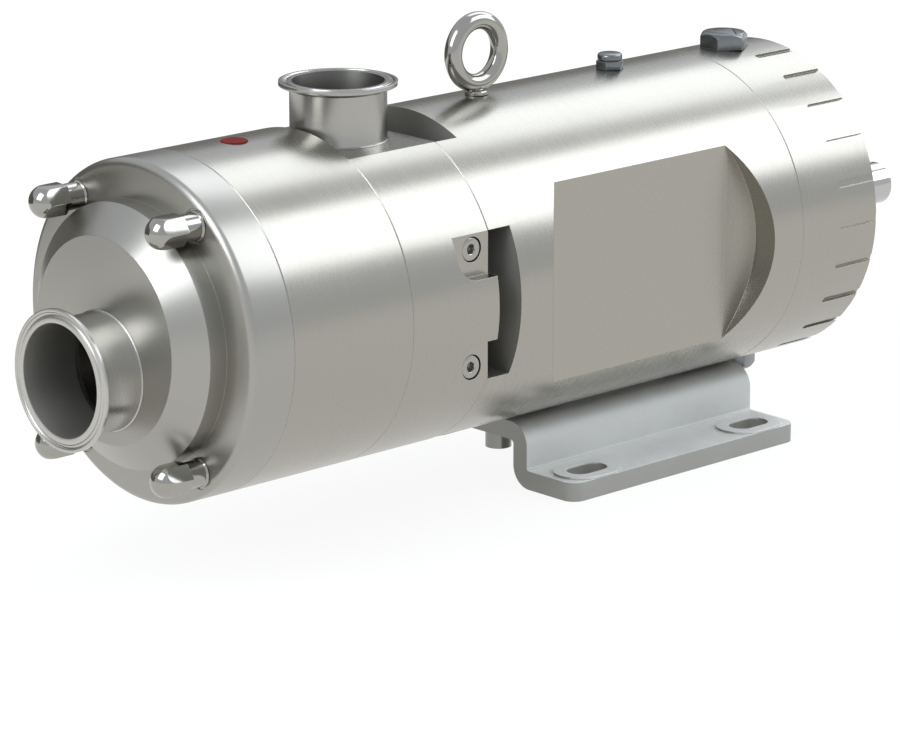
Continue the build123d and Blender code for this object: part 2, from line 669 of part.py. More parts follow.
def front_bearing_outer_rings():
    """Outer rings with side lips and a channel for their rollers."""
    track = BEARING_PITCH + ROLLER_RADIUS
    x0 = X_FRONT_BEARING
    x1 = X_CAVITY

    def channel(y):
        return turned([
            (x0, BEARING_RADIUS), (x1, BEARING_RADIUS), (x1, track - 1), (x1 - BEARING_LIP, track - 1),
            (x1 - BEARING_LIP, track), (x0 + BEARING_LIP, track), (x0 + BEARING_LIP, track - 1), (x0, track - 1),
        ], y)
    return both_shafts(channel)


def front_bearing_rollers():
    """Cylindrical rollers, evenly spaced in both front bearings."""
    margin = BEARING_LIP + FIT
    rollers = []
    for y in SHAFT_SIDES.values():
        for k in range(ROLLERS):
            angle = 2 * math.pi * k / ROLLERS
            rollers.append(rod(
                X_FRONT_BEARING + margin, X_CAVITY - margin, ROLLER_RADIUS - FIT / 2,
                y + BEARING_PITCH * math.cos(angle), BEARING_PITCH * math.sin(angle)))
    return Compound(children=rollers)


def rear_bearing_outer_rings():
    """Outer rings of the rear bearings, with the shields that close them."""
    def shielded(y):
        return ring(X_REAR_BEARING, X_REAR_BEARING + BEARING_WIDTH, BEARING_RADIUS, BEARING_LAND + FIT, y)
    return both_shafts(shielded)


def carrier_screw_places():
    """Four screws in the thick sides of the housing, clear of the bearings."""
    return [(sy * CARRIER_SCREW_Y, sz * CARRIER_SCREW_Z) for sy in (-1, 1) for sz in (-1, 1)]


def bearing_carrier():
    """Round plate that holds the rear bearings in the end of the housing."""
    plate = rod(X_CARRIER, X_HOUSING_END, CARRIER_RADIUS - FIT)
    for y in SHAFT_SIDES.values():
        plate -= rod(X_REAR_BEARING, X_HOUSING_END, BEARING_RADIUS, y)
        plate -= rod(X_CARRIER, X_HOUSING_END, BEARING_RADIUS - 5, y)
    for y, z in carrier_screw_places():
        plate -= rod(X_CARRIER, X_HOUSING_END, CARRIER_SCREW_RADIUS + FIT, y, z)
        plate -= rod(X_HOUSING_END - CARRIER_SCREW_HEAD, X_HOUSING_END, CARRIER_SCREW_HEAD, y, z)
    return plate


def carrier_screws():
    seat = X_HOUSING_END - CARRIER_SCREW_HEAD
    grip = seat - X_CARRIER + CARRIER_SCREW_BITE
    screw = cap_screw(CARRIER_SCREW_HEAD - SCREW_HEAD_GAP, CARRIER_SCREW_HEAD, CARRIER_SCREW_RADIUS, grip)
    return Compound(children=[
        Pos(seat, y, AXIS_HEIGHT + z) * Rot(0, 90, 0) * screw for y, z in carrier_screw_places()])


def cover_screw_places():
    """Screws of the rear cover, evenly spaced between its grooves."""
    step = 360 / COVER_SCREWS
    angles = [math.radians(step * (k + 0.5)) for k in range(COVER_SCREWS)]
    return [(COVER_SCREW_CIRCLE * math.cos(a), COVER_SCREW_CIRCLE * math.sin(a)) for a in angles]


def rear_cover():
    """Deep rear cover with milled grooves round its rim and the drive shaft's bearing wall."""
    cover = turned([
        (X_HOUSING_END, 0),
        (X_HOUSING_END, BODY_RADIUS - EDGE_BREAK),
        (X_HOUSING_END + EDGE_BREAK, BODY_RADIUS),
        (X_END - REAR_EDGE_CHAMFER, BODY_RADIUS),
        (X_END, BODY_RADIUS - REAR_EDGE_CHAMFER),
        (X_END, 0),
    ])
    drain_x = X_HOUSING_END + DRAIN_X
    cover += post(-BODY_RADIUS - DRAIN_BOSS, -REAR_BORE_RADIUS, PLUG_SEAT_RADIUS, drain_x)
    cover -= rod(X_HOUSING_END, X_REAR_WALL, REAR_BORE_RADIUS)
    drive_y = SHAFT_SIDES["drive"]
    cover -= rod(X_REAR_WALL, X_REAR_WALL + OUTBOARD_WIDTH, OUTBOARD_RADIUS, drive_y)
    cover -= rod(X_REAR_WALL, X_END, GEAR_SEAT_RADIUS + 2, drive_y)
    cover -= rod(X_END - REAR_SEAL_WIDTH, X_END, REAR_SEAL_RADIUS, drive_y)
    groove = Pos(0, 0, BODY_RADIUS - GROOVE_DEPTH) * extrude(
        SlotOverall(2 * GROOVE_LENGTH, GROOVE_WIDTH), 2 * GROOVE_DEPTH)
    clear_of_plugs = (PLUG_SEAT_RADIUS + GROOVE_WIDTH) / BODY_RADIUS
    for k in range(COVER_GROOVES):
        angle = 360 * k / COVER_GROOVES
        if abs(math.sin(math.radians(angle))) > clear_of_plugs:
            cover -= Pos(X_END, 0, AXIS_HEIGHT) * Rot(angle, 0, 0) * groove
    for y, z in cover_screw_places():
        cover -= rod(X_HOUSING_END, X_END, COVER_SCREW_RADIUS + FIT, y, z)
        cover -= rod(X_HOUSING_END + COVER_SCREW_GRIP, X_END, COVER_SCREW_HEAD + SCREW_HEAD_GAP, y, z)
    filler_x = X_HOUSING_END + FILLER_X
    cover -= post(FILLER_SEAT, BODY_RADIUS + 1, PLUG_SEAT_RADIUS, filler_x)
    cover -= post(0, BODY_RADIUS, PLUG_THREAD, filler_x)
    cover -= post(-BODY_RADIUS - DRAIN_BOSS, 0, PLUG_THREAD, drain_x)
    return cover


def rear_cover_seal():
    return o_ring(X_HOUSING_END - REAR_RING_SECTION, REAR_RING_RADIUS, REAR_RING_SECTION)


def rear_cover_screws():
    seat = X_HOUSING_END + COVER_SCREW_GRIP
    screw = cap_screw(COVER_SCREW_HEAD, 2 * COVER_SCREW_RADIUS, COVER_SCREW_RADIUS,
                      COVER_SCREW_GRIP + COVER_SCREW_BITE)
    return Compound(children=[
        Pos(seat, y, AXIS_HEIGHT + z) * Rot(0, 90, 0) * screw for y, z in cover_screw_places()])


def outboard_bearing():
    """Sealed bearing behind the drive gear, its fixed part as one ring."""
    return ring(X_REAR_WALL, X_REAR_WALL + OUTBOARD_WIDTH, OUTBOARD_RADIUS, OUTBOARD_LAND,
                SHAFT_SIDES["drive"])


def shaft_seal():
    """Oil seal where the drive shaft leaves the rear cover."""
    x0 = X_END - REAR_SEAL_WIDTH
    lip = GEAR_SEAT_RADIUS + FIT
    return turned([
        (x0, REAR_SEAL_RADIUS), (X_END, REAR_SEAL_RADIUS), (X_END, lip + 3.5), (X_END - 1.5, lip + 3.5),
        (X_END - 3, lip), (x0 + 1, lip), (x0 + 1, lip + 2), (x0 + 3.5, lip + 2.5),
        (x0 + 3.5, REAR_SEAL_RADIUS - 2), (x0, REAR_SEAL_RADIUS - 2),
    ], SHAFT_SIDES["drive"])


def eyebolt():
    """Lifting eye with its small collar and shank."""
    x = HOUSING_FRONT + EYE_X
    eye = Pos(x, 0, AXIS_HEIGHT + BODY_RADIUS + EYE_RISE) * Rot(90, 0, 0) * Torus(
        EYE_OUTER - EYE_SECTION, EYE_SECTION)
    collar = post(BODY_RADIUS, BODY_RADIUS + EYE_COLLAR_HEIGHT, EYE_COLLAR_RADIUS, x)
    shank = post(BODY_RADIUS - EYE_SHANK, BODY_RADIUS, EYE_SHANK_RADIUS, x)
    return eye + collar + shank


def hex_plug(flats, head, thread, depth):
    """Plug with a chamfered hexagon head standing on z = 0."""
    hexagon = extrude(RegularPolygon(flats / 2, 6, major_radius=False), head)
    corner = flats / math.sqrt(3)
    top = Pos(0, 0, head / 2) * Cylinder(corner, head)
    top = chamfer(top.edges().group_by(Axis.Z)[-1], (corner - flats / 2) * 0.9)
    return (hexagon & top) + Pos(0, 0, -depth / 2) * Cylinder(thread, depth)


def filler_plug():
    plug = hex_plug(PLUG_FLATS, PLUG_HEAD, PLUG_THREAD, FILLER_SEAT - REAR_BORE_RADIUS)
    return Pos(X_HOUSING_END + FILLER_X, 0, AXIS_HEIGHT + FILLER_SEAT) * plug


def drain_plug():
    seat = BODY_RADIUS + DRAIN_BOSS
    plug = hex_plug(PLUG_FLATS, PLUG_HEAD, PLUG_THREAD, seat - REAR_BORE_RADIUS)
    return Pos(X_HOUSING_END + DRAIN_X, 0, AXIS_HEIGHT - seat) * Rot(180, 0, 0) * plug


def breather_plug():
    """Small hexagon with a round cap over it."""
    base = extrude(RegularPolygon(BREATHER_FLATS / 2, 6, major_radius=False), BREATHER_BASE)
    cap = Pos(0, 0, BREATHER_BASE + BREATHER_CAP / 2) * Cylinder(BREATHER_FLATS / 2, BREATHER_CAP)
    cap = fillet(cap.edges().group_by(Axis.Z)[-1], BREATHER_CAP / 4)
    depth = BODY_RADIUS - CHAMBER_RADIUS
    thread = Pos(0, 0, -depth / 2) * Cylinder(BREATHER_THREAD, depth)
    return Pos(HOUSING_FRONT + BREATHER_X, 0, AXIS_HEIGHT + BODY_RADIUS) * (base + cap + thread)


def slot_places():
    """Two slots on the near flange, and two closer ones on the far flange."""
    rear = FOOT_REAR - SLOT_INSET
    near = [(FOOT_FRONT + SLOT_INSET, -SLOT_Y), (rear, -SLOT_Y)]
    return near + [(rear - FAR_SLOT_SPACING, SLOT_Y), (rear, SLOT_Y)]


def foot_leg(side, x0):
    """Bent plate from the middle of the deck down one web and out along one flange."""
    clear = DECK_TOP - FOOT_THICKNESS
    most = clear * FOOT_BEND_SHARE
    bend = min(FOOT_BEND, most)
    inside = FOOT_WEB - FOOT_THICKNESS
    corners = [
        (0, DECK_TOP), (FOOT_WEB, DECK_TOP), (FOOT_WEB, FOOT_THICKNESS), (FOOT_HALF_WIDTH, FOOT_THICKNESS),
        (FOOT_HALF_WIDTH, 0), (inside, 0), (inside, clear), (0, clear),
    ]
    section = make_face(Polyline(*[(side * y, z) for y, z in corners], close=True))
    rounds = (
        (FOOT_WEB, DECK_TOP, bend),
        (inside, clear, max(bend - FOOT_THICKNESS, FOOT_CREASE)),
        (FOOT_WEB, FOOT_THICKNESS, FOOT_CREASE),
        (inside, 0, min(FOOT_THICKNESS + FOOT_CREASE, most)),
    )
    for y, z, radius in rounds:
        section = fillet(section.vertices().sort_by_distance((side * y, z, 0))[0], radius)
    leg = extrude(Plane.YZ.offset(x0) * section, FOOT_REAR - x0)
    outer = leg.edges().filter_by(Axis.Z).group_by(Axis.Y)[-1 if side > 0 else 0]
    return fillet(outer, FOOT_CORNER)


def foot_bracket():
    """Foot bent from one plate: a deck, and on each side a web with a slotted flange."""
    foot = foot_leg(-1, FOOT_FRONT) + foot_leg(1, FOOT_REAR - FAR_LEG_LENGTH)
    deck_edge = FOOT_WEB - FOOT_BEND
    clear = DECK_TOP - FOOT_THICKNESS
    foot += block(FOOT_FRONT, FOOT_REAR, 0, deck_edge, clear - AXIS_HEIGHT, DECK_TOP - AXIS_HEIGHT)
    land = extrude(SlotOverall(SLOT_LENGTH + 2 * SLOT_LAND, SLOT_WIDTH + 2 * SLOT_LAND), SLOT_LAND_HEIGHT)
    slot = extrude(SlotOverall(SLOT_LENGTH, SLOT_WIDTH), DECK_TOP)
    for x, y in slot_places():
        foot += Pos(x, y, FOOT_THICKNESS) * land
    for x, y in slot_places():
        foot -= Pos(x, y) * slot
    for x in FOOT_BOLT_PLACES:
        foot -= Pos(x, 0, DECK_TOP) * Cylinder(FOOT_BOLT_RADIUS + FOOT_BOLT_GAP, 2 * FOOT_THICKNESS)
    return foot


def foot_bolts():
    seat = DECK_TOP - FOOT_THICKNESS
    bolt = cap_screw(FOOT_BOLT_HEAD, FOOT_BOLT_HEAD_HEIGHT, FOOT_BOLT_RADIUS, FOOT_THICKNESS + FOOT_BOLT_GRIP)
    return Compound(children=[
        Pos(x, 0, seat) * Rot(180, 0, 0) * bolt for x in FOOT_BOLT_PLACES])


def flank_point(share):
    """Point of a screw flank: the path of the other screw's tip corner, as (radius, angle)."""
    tip = SCREW_RADIUS + RUNNING_GAP
    last = math.acos((SHAFT_SPACING ** 2 + tip ** 2 - SCREW_RADIUS ** 2) / (2 * SHAFT_SPACING * tip))
    turn = last * share
    x = SHAFT_SPACING * math.cos(turn) - tip * math.cos(2 * turn)
    y = tip * math.sin(2 * turn) - SHAFT_SPACING * math.sin(turn)
    return math.hypot(x, y), math.atan2(y, x)


def screw_section(turn):
    """Cross section of a screw: tip arcs, root arcs and the generated flanks between them."""
    half = math.pi / (2 * SCREW_STARTS) - SCREW_SIDE_GAP / SCREW_RADIUS
    flank = [flank_point(k / 4) for k in range(5)]
    tip_half = half - flank[-1][1]
    pitch = 2 * math.pi / SCREW_STARTS

    def at(radius, angle):
        return (radius * math.cos(angle), radius * math.sin(angle))

    edges = []
    for lobe in range(SCREW_STARTS):
        middle = math.radians(turn) + lobe * pitch
        after = middle + pitch
        fall = [at(r, middle + half - a) for r, a in reversed(flank)]
        rise = [at(r, after - half + a) for r, a in flank]
        edges.append(ThreePointArc(
            at(SCREW_RADIUS, middle - tip_half), at(SCREW_RADIUS, middle), at(SCREW_RADIUS, middle + tip_half)))
        edges.append(ThreePointArc(*fall[0:3]))
        edges.append(ThreePointArc(*fall[2:5]))
        edges.append(ThreePointArc(
            at(ROOT_RADIUS, middle + half), at(ROOT_RADIUS, middle + pitch / 2), at(ROOT_RADIUS, after - half)))
        edges.append(ThreePointArc(*rise[0:3]))
        edges.append(ThreePointArc(*rise[2:5]))
    return make_face(edges)


def pump_screw(side):
    """Screw with its keyed bore. The two screws turn against each other and are of opposite hand."""
    hand = 1 if side == "drive" else -1
    length = X_SCREW_STOP - X_SCREW_START
    section = screw_section(90 if side == "drive" else 0).faces()[0]
    body = Solid.extrude_linear_with_rotation(section, (0, 0, 0), (0, 0, length), hand * 360 * length / SCREW_LEAD)
    body -= Pos(0, 0, length / 2) * Cylinder(SCREW_SEAT_RADIUS, length)
    slot_top = SCREW_SEAT_RADIUS - KEY_SINK + KEY_HEIGHT
    body -= Pos(-slot_top / 2, 0, length / 2) * Box(slot_top, KEY_WIDTH, length)
    return Pos(X_SCREW_START, SHAFT_SIDES[side], AXIS_HEIGHT) * Rot(0, 90, 0) * body


def shaft_key(x, length, seat_radius, y, turn=0.0):
    """Round-ended key let into a shaft seat."""
    key = extrude(SlotOverall(length, KEY_WIDTH), KEY_HEIGHT)
    return Pos(x, y, AXIS_HEIGHT) * Rot(turn, 0, 0) * Pos(0, 0, seat_radius - KEY_SINK) * key


def screw_key(side):
    middle = (X_SCREW_START + X_SCREW_STOP) / 2
    return shaft_key(middle, SCREW_KEY_LENGTH, SCREW_SEAT_RADIUS, SHAFT_SIDES[side])


def gear_key(side):
    return shaft_key(X_GEARS + GEAR_WIDTH / 2, GEAR_KEY_LENGTH, GEAR_SEAT_RADIUS, SHAFT_SIDES[side])


def coupling_keyway():
    """Cutter for the keyway in the bare drive end."""
    middle = DRIVE_END_X - COUPLING_KEY_INSET - COUPLING_KEY_LENGTH / 2
    return shaft_key(middle, COUPLING_KEY_LENGTH, DRIVE_END_RADIUS, SHAFT_SIDES["drive"], COUPLING_KEY_TURN)


def pump_shaft(side):
    """Stepped shaft from the screw nut to the gear, and on to the coupling on the drive side."""
    shoulder = X_CAVITY + SHOULDER_GAP
    seat_end = X_GEARS + GEAR_WIDTH + LOCKNUT_WIDTH
    end = [(seat_end - 1, GEAR_SEAT_RADIUS), (seat_end, GEAR_SEAT_RADIUS - 1), (seat_end, 0)]
    if side == "drive":
        seat_end = X_END + 1
        end = [
            (seat_end, GEAR_SEAT_RADIUS), (seat_end, DRIVE_END_RADIUS), (DRIVE_END_X - 1, DRIVE_END_RADIUS),
            (DRIVE_END_X, DRIVE_END_RADIUS - 1), (DRIVE_END_X, 0),
        ]
    shaft = turned([
        (X_SCREW_START - THREAD_LENGTH, 0),
        (X_SCREW_START - THREAD_LENGTH, THREAD_RADIUS - 1),
        (X_SCREW_START - THREAD_LENGTH + 1, THREAD_RADIUS),
        (X_SCREW_START, THREAD_RADIUS),
        (X_SCREW_START, SCREW_SEAT_RADIUS),
        (X_SCREW_STOP, SCREW_SEAT_RADIUS),
        (X_SCREW_STOP, SHAFT_RADIUS),
        (shoulder, SHAFT_RADIUS),
        (shoulder, SHAFT_SHOULDER),
        (X_REAR_BEARING, SHAFT_SHOULDER),
        (X_REAR_BEARING, SHAFT_RADIUS),
        (X_GEARS, SHAFT_RADIUS),
        (X_GEARS, GEAR_SEAT_RADIUS),
        *end,
    ], SHAFT_SIDES[side])
    keys = [screw_key(side), gear_key(side)]
    if side == "drive":
        keys.append(coupling_keyway())
    for key in keys:
        shaft -= key
    return shaft


def screw_nut(side):
    """Blind hexagon nut with a rounded end, which holds the screw on its shaft."""
    crown = X_SCREW_START - SCREW_NUT_LENGTH
    y = SHAFT_SIDES[side]
    flats = nosed_hexagon(crown, X_SCREW_START, SCREW_NUT_FLATS, y)
    return flats - rod(X_SCREW_START - THREAD_LENGTH, X_SCREW_START, THREAD_RADIUS, y)


def seal_head(side):
    """Turning half of a mechanical seal: face ring, bellows and collar."""
    face = X_SEAT - SEAL_FACE_GAP
    x0 = face - SEAL_HEAD_LENGTH
    waist = SEAL_FACE_RADIUS - 1.5
    return turned([
        (x0, SHAFT_RADIUS), (face, SHAFT_RADIUS), (face, SEAL_FACE_RADIUS),
        (face - SEAL_FACE_LENGTH, SEAL_FACE_RADIUS), (face - SEAL_FACE_LENGTH, SEAL_HEAD_RADIUS),
        (face - 2 * SEAL_FACE_LENGTH, SEAL_HEAD_RADIUS), (face - 2 * SEAL_FACE_LENGTH, waist),
        (face - 3 * SEAL_FACE_LENGTH, waist), (face - 3 * SEAL_FACE_LENGTH, SEAL_HEAD_RADIUS),
        (x0, SEAL_HEAD_RADIUS),
    ], SHAFT_SIDES[side])


def inner_rings(side):
    """Inner rings of the shaft's bearings, which turn with it."""
    y = SHAFT_SIDES[side]
    rings = [
        ring(X_FRONT_BEARING, X_CAVITY, BEARING_PITCH - ROLLER_RADIUS - FIT, SHAFT_RADIUS, y),
        ring(X_REAR_BEARING, X_REAR_BEARING + BEARING_WIDTH, BEARING_LAND, SHAFT_RADIUS, y),
    ]
    if side == "drive":
        rings.append(ring(X_REAR_WALL, X_REAR_WALL + OUTBOARD_WIDTH, OUTBOARD_LAND - FIT, GEAR_SEAT_RADIUS, y))
    return Compound(children=rings)


def gear_section():
    """Spur gear outline with involute flanks, one tooth pointing along +X of the sketch."""
    module = SHAFT_SPACING / GEAR_TEETH
    pitch_radius = SHAFT_SPACING / 2
    base = pitch_radius * math.cos(math.radians(PRESSURE_ANGLE))
    tip = pitch_radius + 0.95 * module
    root = pitch_radius - 1.25 * module
    spread = math.tan(math.radians(PRESSURE_ANGLE)) - math.radians(PRESSURE_ANGLE)
    half = math.pi / (2 * GEAR_TEETH) - GEAR_BACKLASH / (2 * pitch_radius) + spread
    last = math.sqrt((tip / base) ** 2 - 1)

    def flank(share):
        roll = last * share
        return base * math.sqrt(1 + roll ** 2), half - (roll - math.atan(roll))

    def at(radius, angle):
        return (radius * math.cos(angle), radius * math.sin(angle))

    edges = []
    for tooth in range(GEAR_TEETH):
        centre = 2 * math.pi * tooth / GEAR_TEETH
        after = centre + 2 * math.pi / GEAR_TEETH
        foot, knee, head = (flank(share) for share in (0, 0.5, 1))
        edges.append(Line(at(root, centre - half), at(foot[0], centre - half)))
        edges.append(ThreePointArc(*(at(r, centre - a) for r, a in (foot, knee, head))))
        edges.append(ThreePointArc(at(tip, centre - head[1]), at(tip, centre), at(tip, centre + head[1])))
        edges.append(ThreePointArc(*(at(r, centre + a) for r, a in (head, knee, foot))))
        edges.append(Line(at(foot[0], centre + half), at(root, centre + half)))
        edges.append(ThreePointArc(
            at(root, centre + half), at(root, (centre + after) / 2), at(root, after - half)))
    return make_face(edges)


def timing_gear(side):
    """Timing gear with a keyway. An odd tooth count puts a tooth against a gap."""
    y = SHAFT_SIDES[side]
    plane = Plane.YZ.offset(X_GEARS) * Pos(y, AXIS_HEIGHT)
    gear = extrude(plane * gear_section(), GEAR_WIDTH)
    gear -= rod(X_GEARS, X_GEARS + GEAR_WIDTH, GEAR_SEAT_RADIUS, y)
    top = GEAR_SEAT_RADIUS - KEY_SINK + KEY_HEIGHT
    gear -= block(X_GEARS, X_GEARS + GEAR_WIDTH, y - KEY_WIDTH / 2, y + KEY_WIDTH / 2, 0, top)
    return gear


def locknut(side):
    """Slotted nut behind the gear."""
    x0 = X_GEARS + GEAR_WIDTH
    y = SHAFT_SIDES[side]
    nut = ring(x0, x0 + LOCKNUT_WIDTH, LOCKNUT_RADIUS, GEAR_SEAT_RADIUS, y)
    for turn in range(0, 360, 90):
        slot = Pos(0, 0, LOCKNUT_RADIUS) * Box(2 * LOCKNUT_WIDTH, LOCKNUT_SLOT, LOCKNUT_SLOT)
        nut -= Pos(x0 + LOCKNUT_WIDTH / 2, y, AXIS_HEIGHT) * Rot(turn, 0, 0) * slot
    return nut


ROOT_PIECES = (
    inlet_ferrule, front_cover, dome_nuts, cover_studs, cover_seal, casing_seal, screw_casing, marker_plug,
    outlet_casing, outlet_ferrule, casing_screws, gland_plate, gland_screws, seal_seats, bearing_housing,
    lip_seals, front_bearing_outer_rings, front_bearing_rollers, bearing_carrier, carrier_screws,
    rear_bearing_outer_rings, rear_cover, rear_cover_seal, rear_cover_screws,
    outboard_bearing, shaft_seal, eyebolt, filler_plug, drain_plug, breather_plug, foot_bracket, foot_bolts,
)
TURNING_PIECES = {
    "screw": pump_screw,
    "shaft": pump_shaft,
    "screw_nut": screw_nut,
    "screw_key": screw_key,
    "seal_head": seal_head,
    "inner_rings": inner_rings,
    "gear": timing_gear,
    "gear_key": gear_key,
    "locknut": locknut,
}

os.makedirs("parts", exist_ok=True)
for make in ROOT_PIECES:
    export_step(make(), f"parts/{make.__name__}.step")
for shaft_side in SHAFT_SIDES:
    for piece, make in TURNING_PIECES.items():
        export_step(make(shaft_side), f"parts/{shaft_side}_{piece}.step")
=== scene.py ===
import math

import bpy
from mathutils import Matrix, Vector


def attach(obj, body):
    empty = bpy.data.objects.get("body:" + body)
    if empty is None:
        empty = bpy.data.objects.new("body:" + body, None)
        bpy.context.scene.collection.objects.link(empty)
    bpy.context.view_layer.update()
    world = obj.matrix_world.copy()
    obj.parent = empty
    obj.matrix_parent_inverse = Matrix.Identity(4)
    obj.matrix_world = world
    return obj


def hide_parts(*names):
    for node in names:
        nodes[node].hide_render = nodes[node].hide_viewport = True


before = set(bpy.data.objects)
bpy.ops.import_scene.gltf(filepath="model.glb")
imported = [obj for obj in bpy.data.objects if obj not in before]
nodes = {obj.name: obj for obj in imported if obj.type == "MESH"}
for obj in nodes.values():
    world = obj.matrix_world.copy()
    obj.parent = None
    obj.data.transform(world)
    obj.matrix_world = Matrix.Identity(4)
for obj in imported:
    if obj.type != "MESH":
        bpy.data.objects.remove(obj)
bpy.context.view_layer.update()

# Camera: a long lens from in front of the suction cover, on the panel's side and a little above.
# Its angles, distance and lens were solved from the outlines of the photograph.
VIEW_TURN = math.radians(46.8)
VIEW_DROP = math.radians(15.56)
VIEW_DISTANCE = 2.9071
VIEW_TARGET = Vector((-0.0275, 0.0, 0.07912))
SENSOR_WIDTH = 36.0
LENS = 172.66
CAMERA_REACH = 50.0

sight = Vector((
    math.cos(VIEW_TURN) * math.cos(VIEW_DROP),
    math.sin(VIEW_TURN) * math.cos(VIEW_DROP),
    -math.sin(VIEW_DROP),
))
camera_data = bpy.data.cameras.new("camera")
camera_data.sensor_width = SENSOR_WIDTH
camera_data.lens = LENS
camera_data.clip_end = CAMERA_REACH
camera = bpy.data.objects.new("camera", camera_data)
camera.location = VIEW_TARGET - sight * VIEW_DISTANCE
camera.rotation_euler = sight.to_track_quat("-Z", "Y").to_euler()
bpy.context.scene.collection.objects.link(camera)
bpy.context.scene.camera = camera
bpy.context.scene.view_settings.view_transform = "Standard"


# Studio: a white floor in a plain white room, three soft boxes round the pump and a grey card behind it.
# The boxes and the card are what the round steel mirrors as its bright and dark bands.
def linear(colour):
    """Linear colour of an sRGB hex value."""
    parts = [int(colour[i:i + 2], 16) / 255 for i in (1, 3, 5)]
    return [c / 12.92 if c <= 0.04045 else ((c + 0.055) / 1.055) ** 2.4 for c in parts] + [1.0]


def add_node(tree, kind, settings=None, links=None):
    """A node with its settings, and with its inputs linked from (node, output) pairs."""
    node = tree.nodes.new(kind)
    for key, value in (settings or {}).items():
        if isinstance(key, int) or key in node.inputs:
            node.inputs[key].default_value = value
        else:
            setattr(node, key, value)
    for key, (source, output) in (links or {}).items():
        tree.links.new(source.outputs[output], node.inputs[key])
    return node


def empty_material(name):
    """A material whose nodes are all still to come."""
    material = bpy.data.materials.new(name)
    material.use_nodes = True
    material.node_tree.nodes.clear()
    return material


FLOOR_SIZE = 40.0
FLOOR_GLOW = 0.9
WHITE = "#ffffff"
ROOM_COLOUR = "#f1f6ff"
ROOM_STRENGTH = 0.9

world = bpy.data.worlds.new("room")
bpy.context.scene.world = world
world.use_nodes = True
room = world.node_tree.nodes["Background"]
room.inputs["Color"].default_value = linear(ROOM_COLOUR)
room.inputs["Strength"].default_value = ROOM_STRENGTH

# Matt white paint that takes the pump's shadow. To the camera, to metal and to glass it mostly glows, so
# that it stays white.
floor_paint = empty_material("white floor")
tree = floor_paint.node_tree
rays = add_node(tree, "ShaderNodeLightPath")
seen = add_node(tree, "ShaderNodeMath", {"operation": "MAXIMUM"},
                {0: (rays, "Is Camera Ray"), 1: (rays, "Is Glossy Ray")})
through = add_node(tree, "ShaderNodeMath", {"operation": "MAXIMUM"},
                   {0: (seen, 0), 1: (rays, "Is Transmission Ray")})
share = add_node(tree, "ShaderNodeMath", {"operation": "MULTIPLY", 1: FLOOR_GLOW}, {0: (through, 0)})
paint = add_node(tree, "ShaderNodeBsdfDiffuse", {"Color": linear(WHITE)})
glow = add_node(tree, "ShaderNodeEmission", {"Color": linear(WHITE), "Strength": 1.0})
mixed = add_node(tree, "ShaderNodeMixShader", {}, {0: (share, 0), 1: (paint, 0), 2: (glow, 0)})
add_node(tree, "ShaderNodeOutputMaterial", {}, {"Surface": (mixed, 0)})

bpy.ops.object.select_all(action="DESELECT")
bpy.ops.mesh.primitive_plane_add(size=FLOOR_SIZE, location=(0, 0, 0))
floor = bpy.context.object
floor.name = "floor"
floor.data.materials.append(floor_paint)


def studio_card(name, colour, place, size, turn):
    """A card that only reflections see."""
    card_paint = empty_material(name)
    tree = card_paint.node_tree
    card_glow = add_node(tree, "ShaderNodeEmission", {"Color": linear(colour), "Strength": 1.0})
    add_node(tree, "ShaderNodeOutputMaterial", {}, {"Surface": (card_glow, 0)})
    bpy.ops.object.select_all(action="DESELECT")
    bpy.ops.mesh.primitive_plane_add(size=1.0, location=place, rotation=turn)
    card = bpy.context.object
    card.name = name
    card.scale = (*size, 1.0)
    card.data.materials.append(card_paint)
    card.visible_camera = False
    card.visible_diffuse = False
    card.visible_shadow = False


CARD_GREY = "#7a7875"
CARD_PLACE = (0.42, 1.0, 0.33)
CARD_SIZE = (4.0, 0.66)
CARD_UPRIGHT = (math.pi / 2, 0, 0)
studio_card("back_card", CARD_GREY, CARD_PLACE, CARD_SIZE, CARD_UPRIGHT)

BOX_COLOUR = (0.88, 0.93, 1.0)
BOX_DISTANCE = 3.0
LIT_MIDDLE = Vector((-0.024, 0.0, 0.16))


def mirrored(turn):
    """Where the barrel mirrors the camera's line of sight, at a turn from its near side over the top."""
    normal = Vector((0.0, -math.cos(turn), math.sin(turn)))
    return sight - 2 * sight.dot(normal) * normal


def soft_box(name, away, width, height, radiance):
    """A soft box that faces the pump from a direction, its long side level with the shafts."""
    away = away.normalized()
    along = (Vector((1, 0, 0)) - away * away.x).normalized()
    across = away.cross(along)
    data = bpy.data.lights.new(name, "AREA")
    data.shape = "RECTANGLE"
    data.size = width
    data.size_y = height
    data.color = BOX_COLOUR
    data.energy = math.pi * width * height * radiance
    box = bpy.data.objects.new(name, data)
    turned = Matrix((along, across, away)).transposed().to_4x4()
    box.matrix_world = Matrix.Translation(LIT_MIDDLE + away * BOX_DISTANCE) @ turned
    bpy.context.scene.collection.objects.link(box)


SIDE_TURN = math.radians(37.5)
BACK_TURN = math.radians(66.5)
FRONT_AWAY = Vector((-0.78, -0.04, 0.62))
soft_box("side_box", mirrored(SIDE_TURN), width=2.6, height=1.74, radiance=2.9)
soft_box("back_box", mirrored(BACK_TURN), width=2.6, height=1.42, radiance=2.2)
soft_box("front_box", FRONT_AWAY, width=2.1, height=1.6, radiance=4.6)


# Foot: a bent plate of stainless steel, bead blasted after bending, which leaves an even dull grain.
# It stands on the floor, and two screws from below hold the bearing housing on its deck.
FLANGE_TOP = 0.0135
LAND_TOP = 0.016
CLOUDS_PER_METRE = 35.0
FACES_ALONG = 0.9
FACES_LEVEL = 0.3
PLATE_EDGE = 0.0008
EDGE_SAMPLES = 6


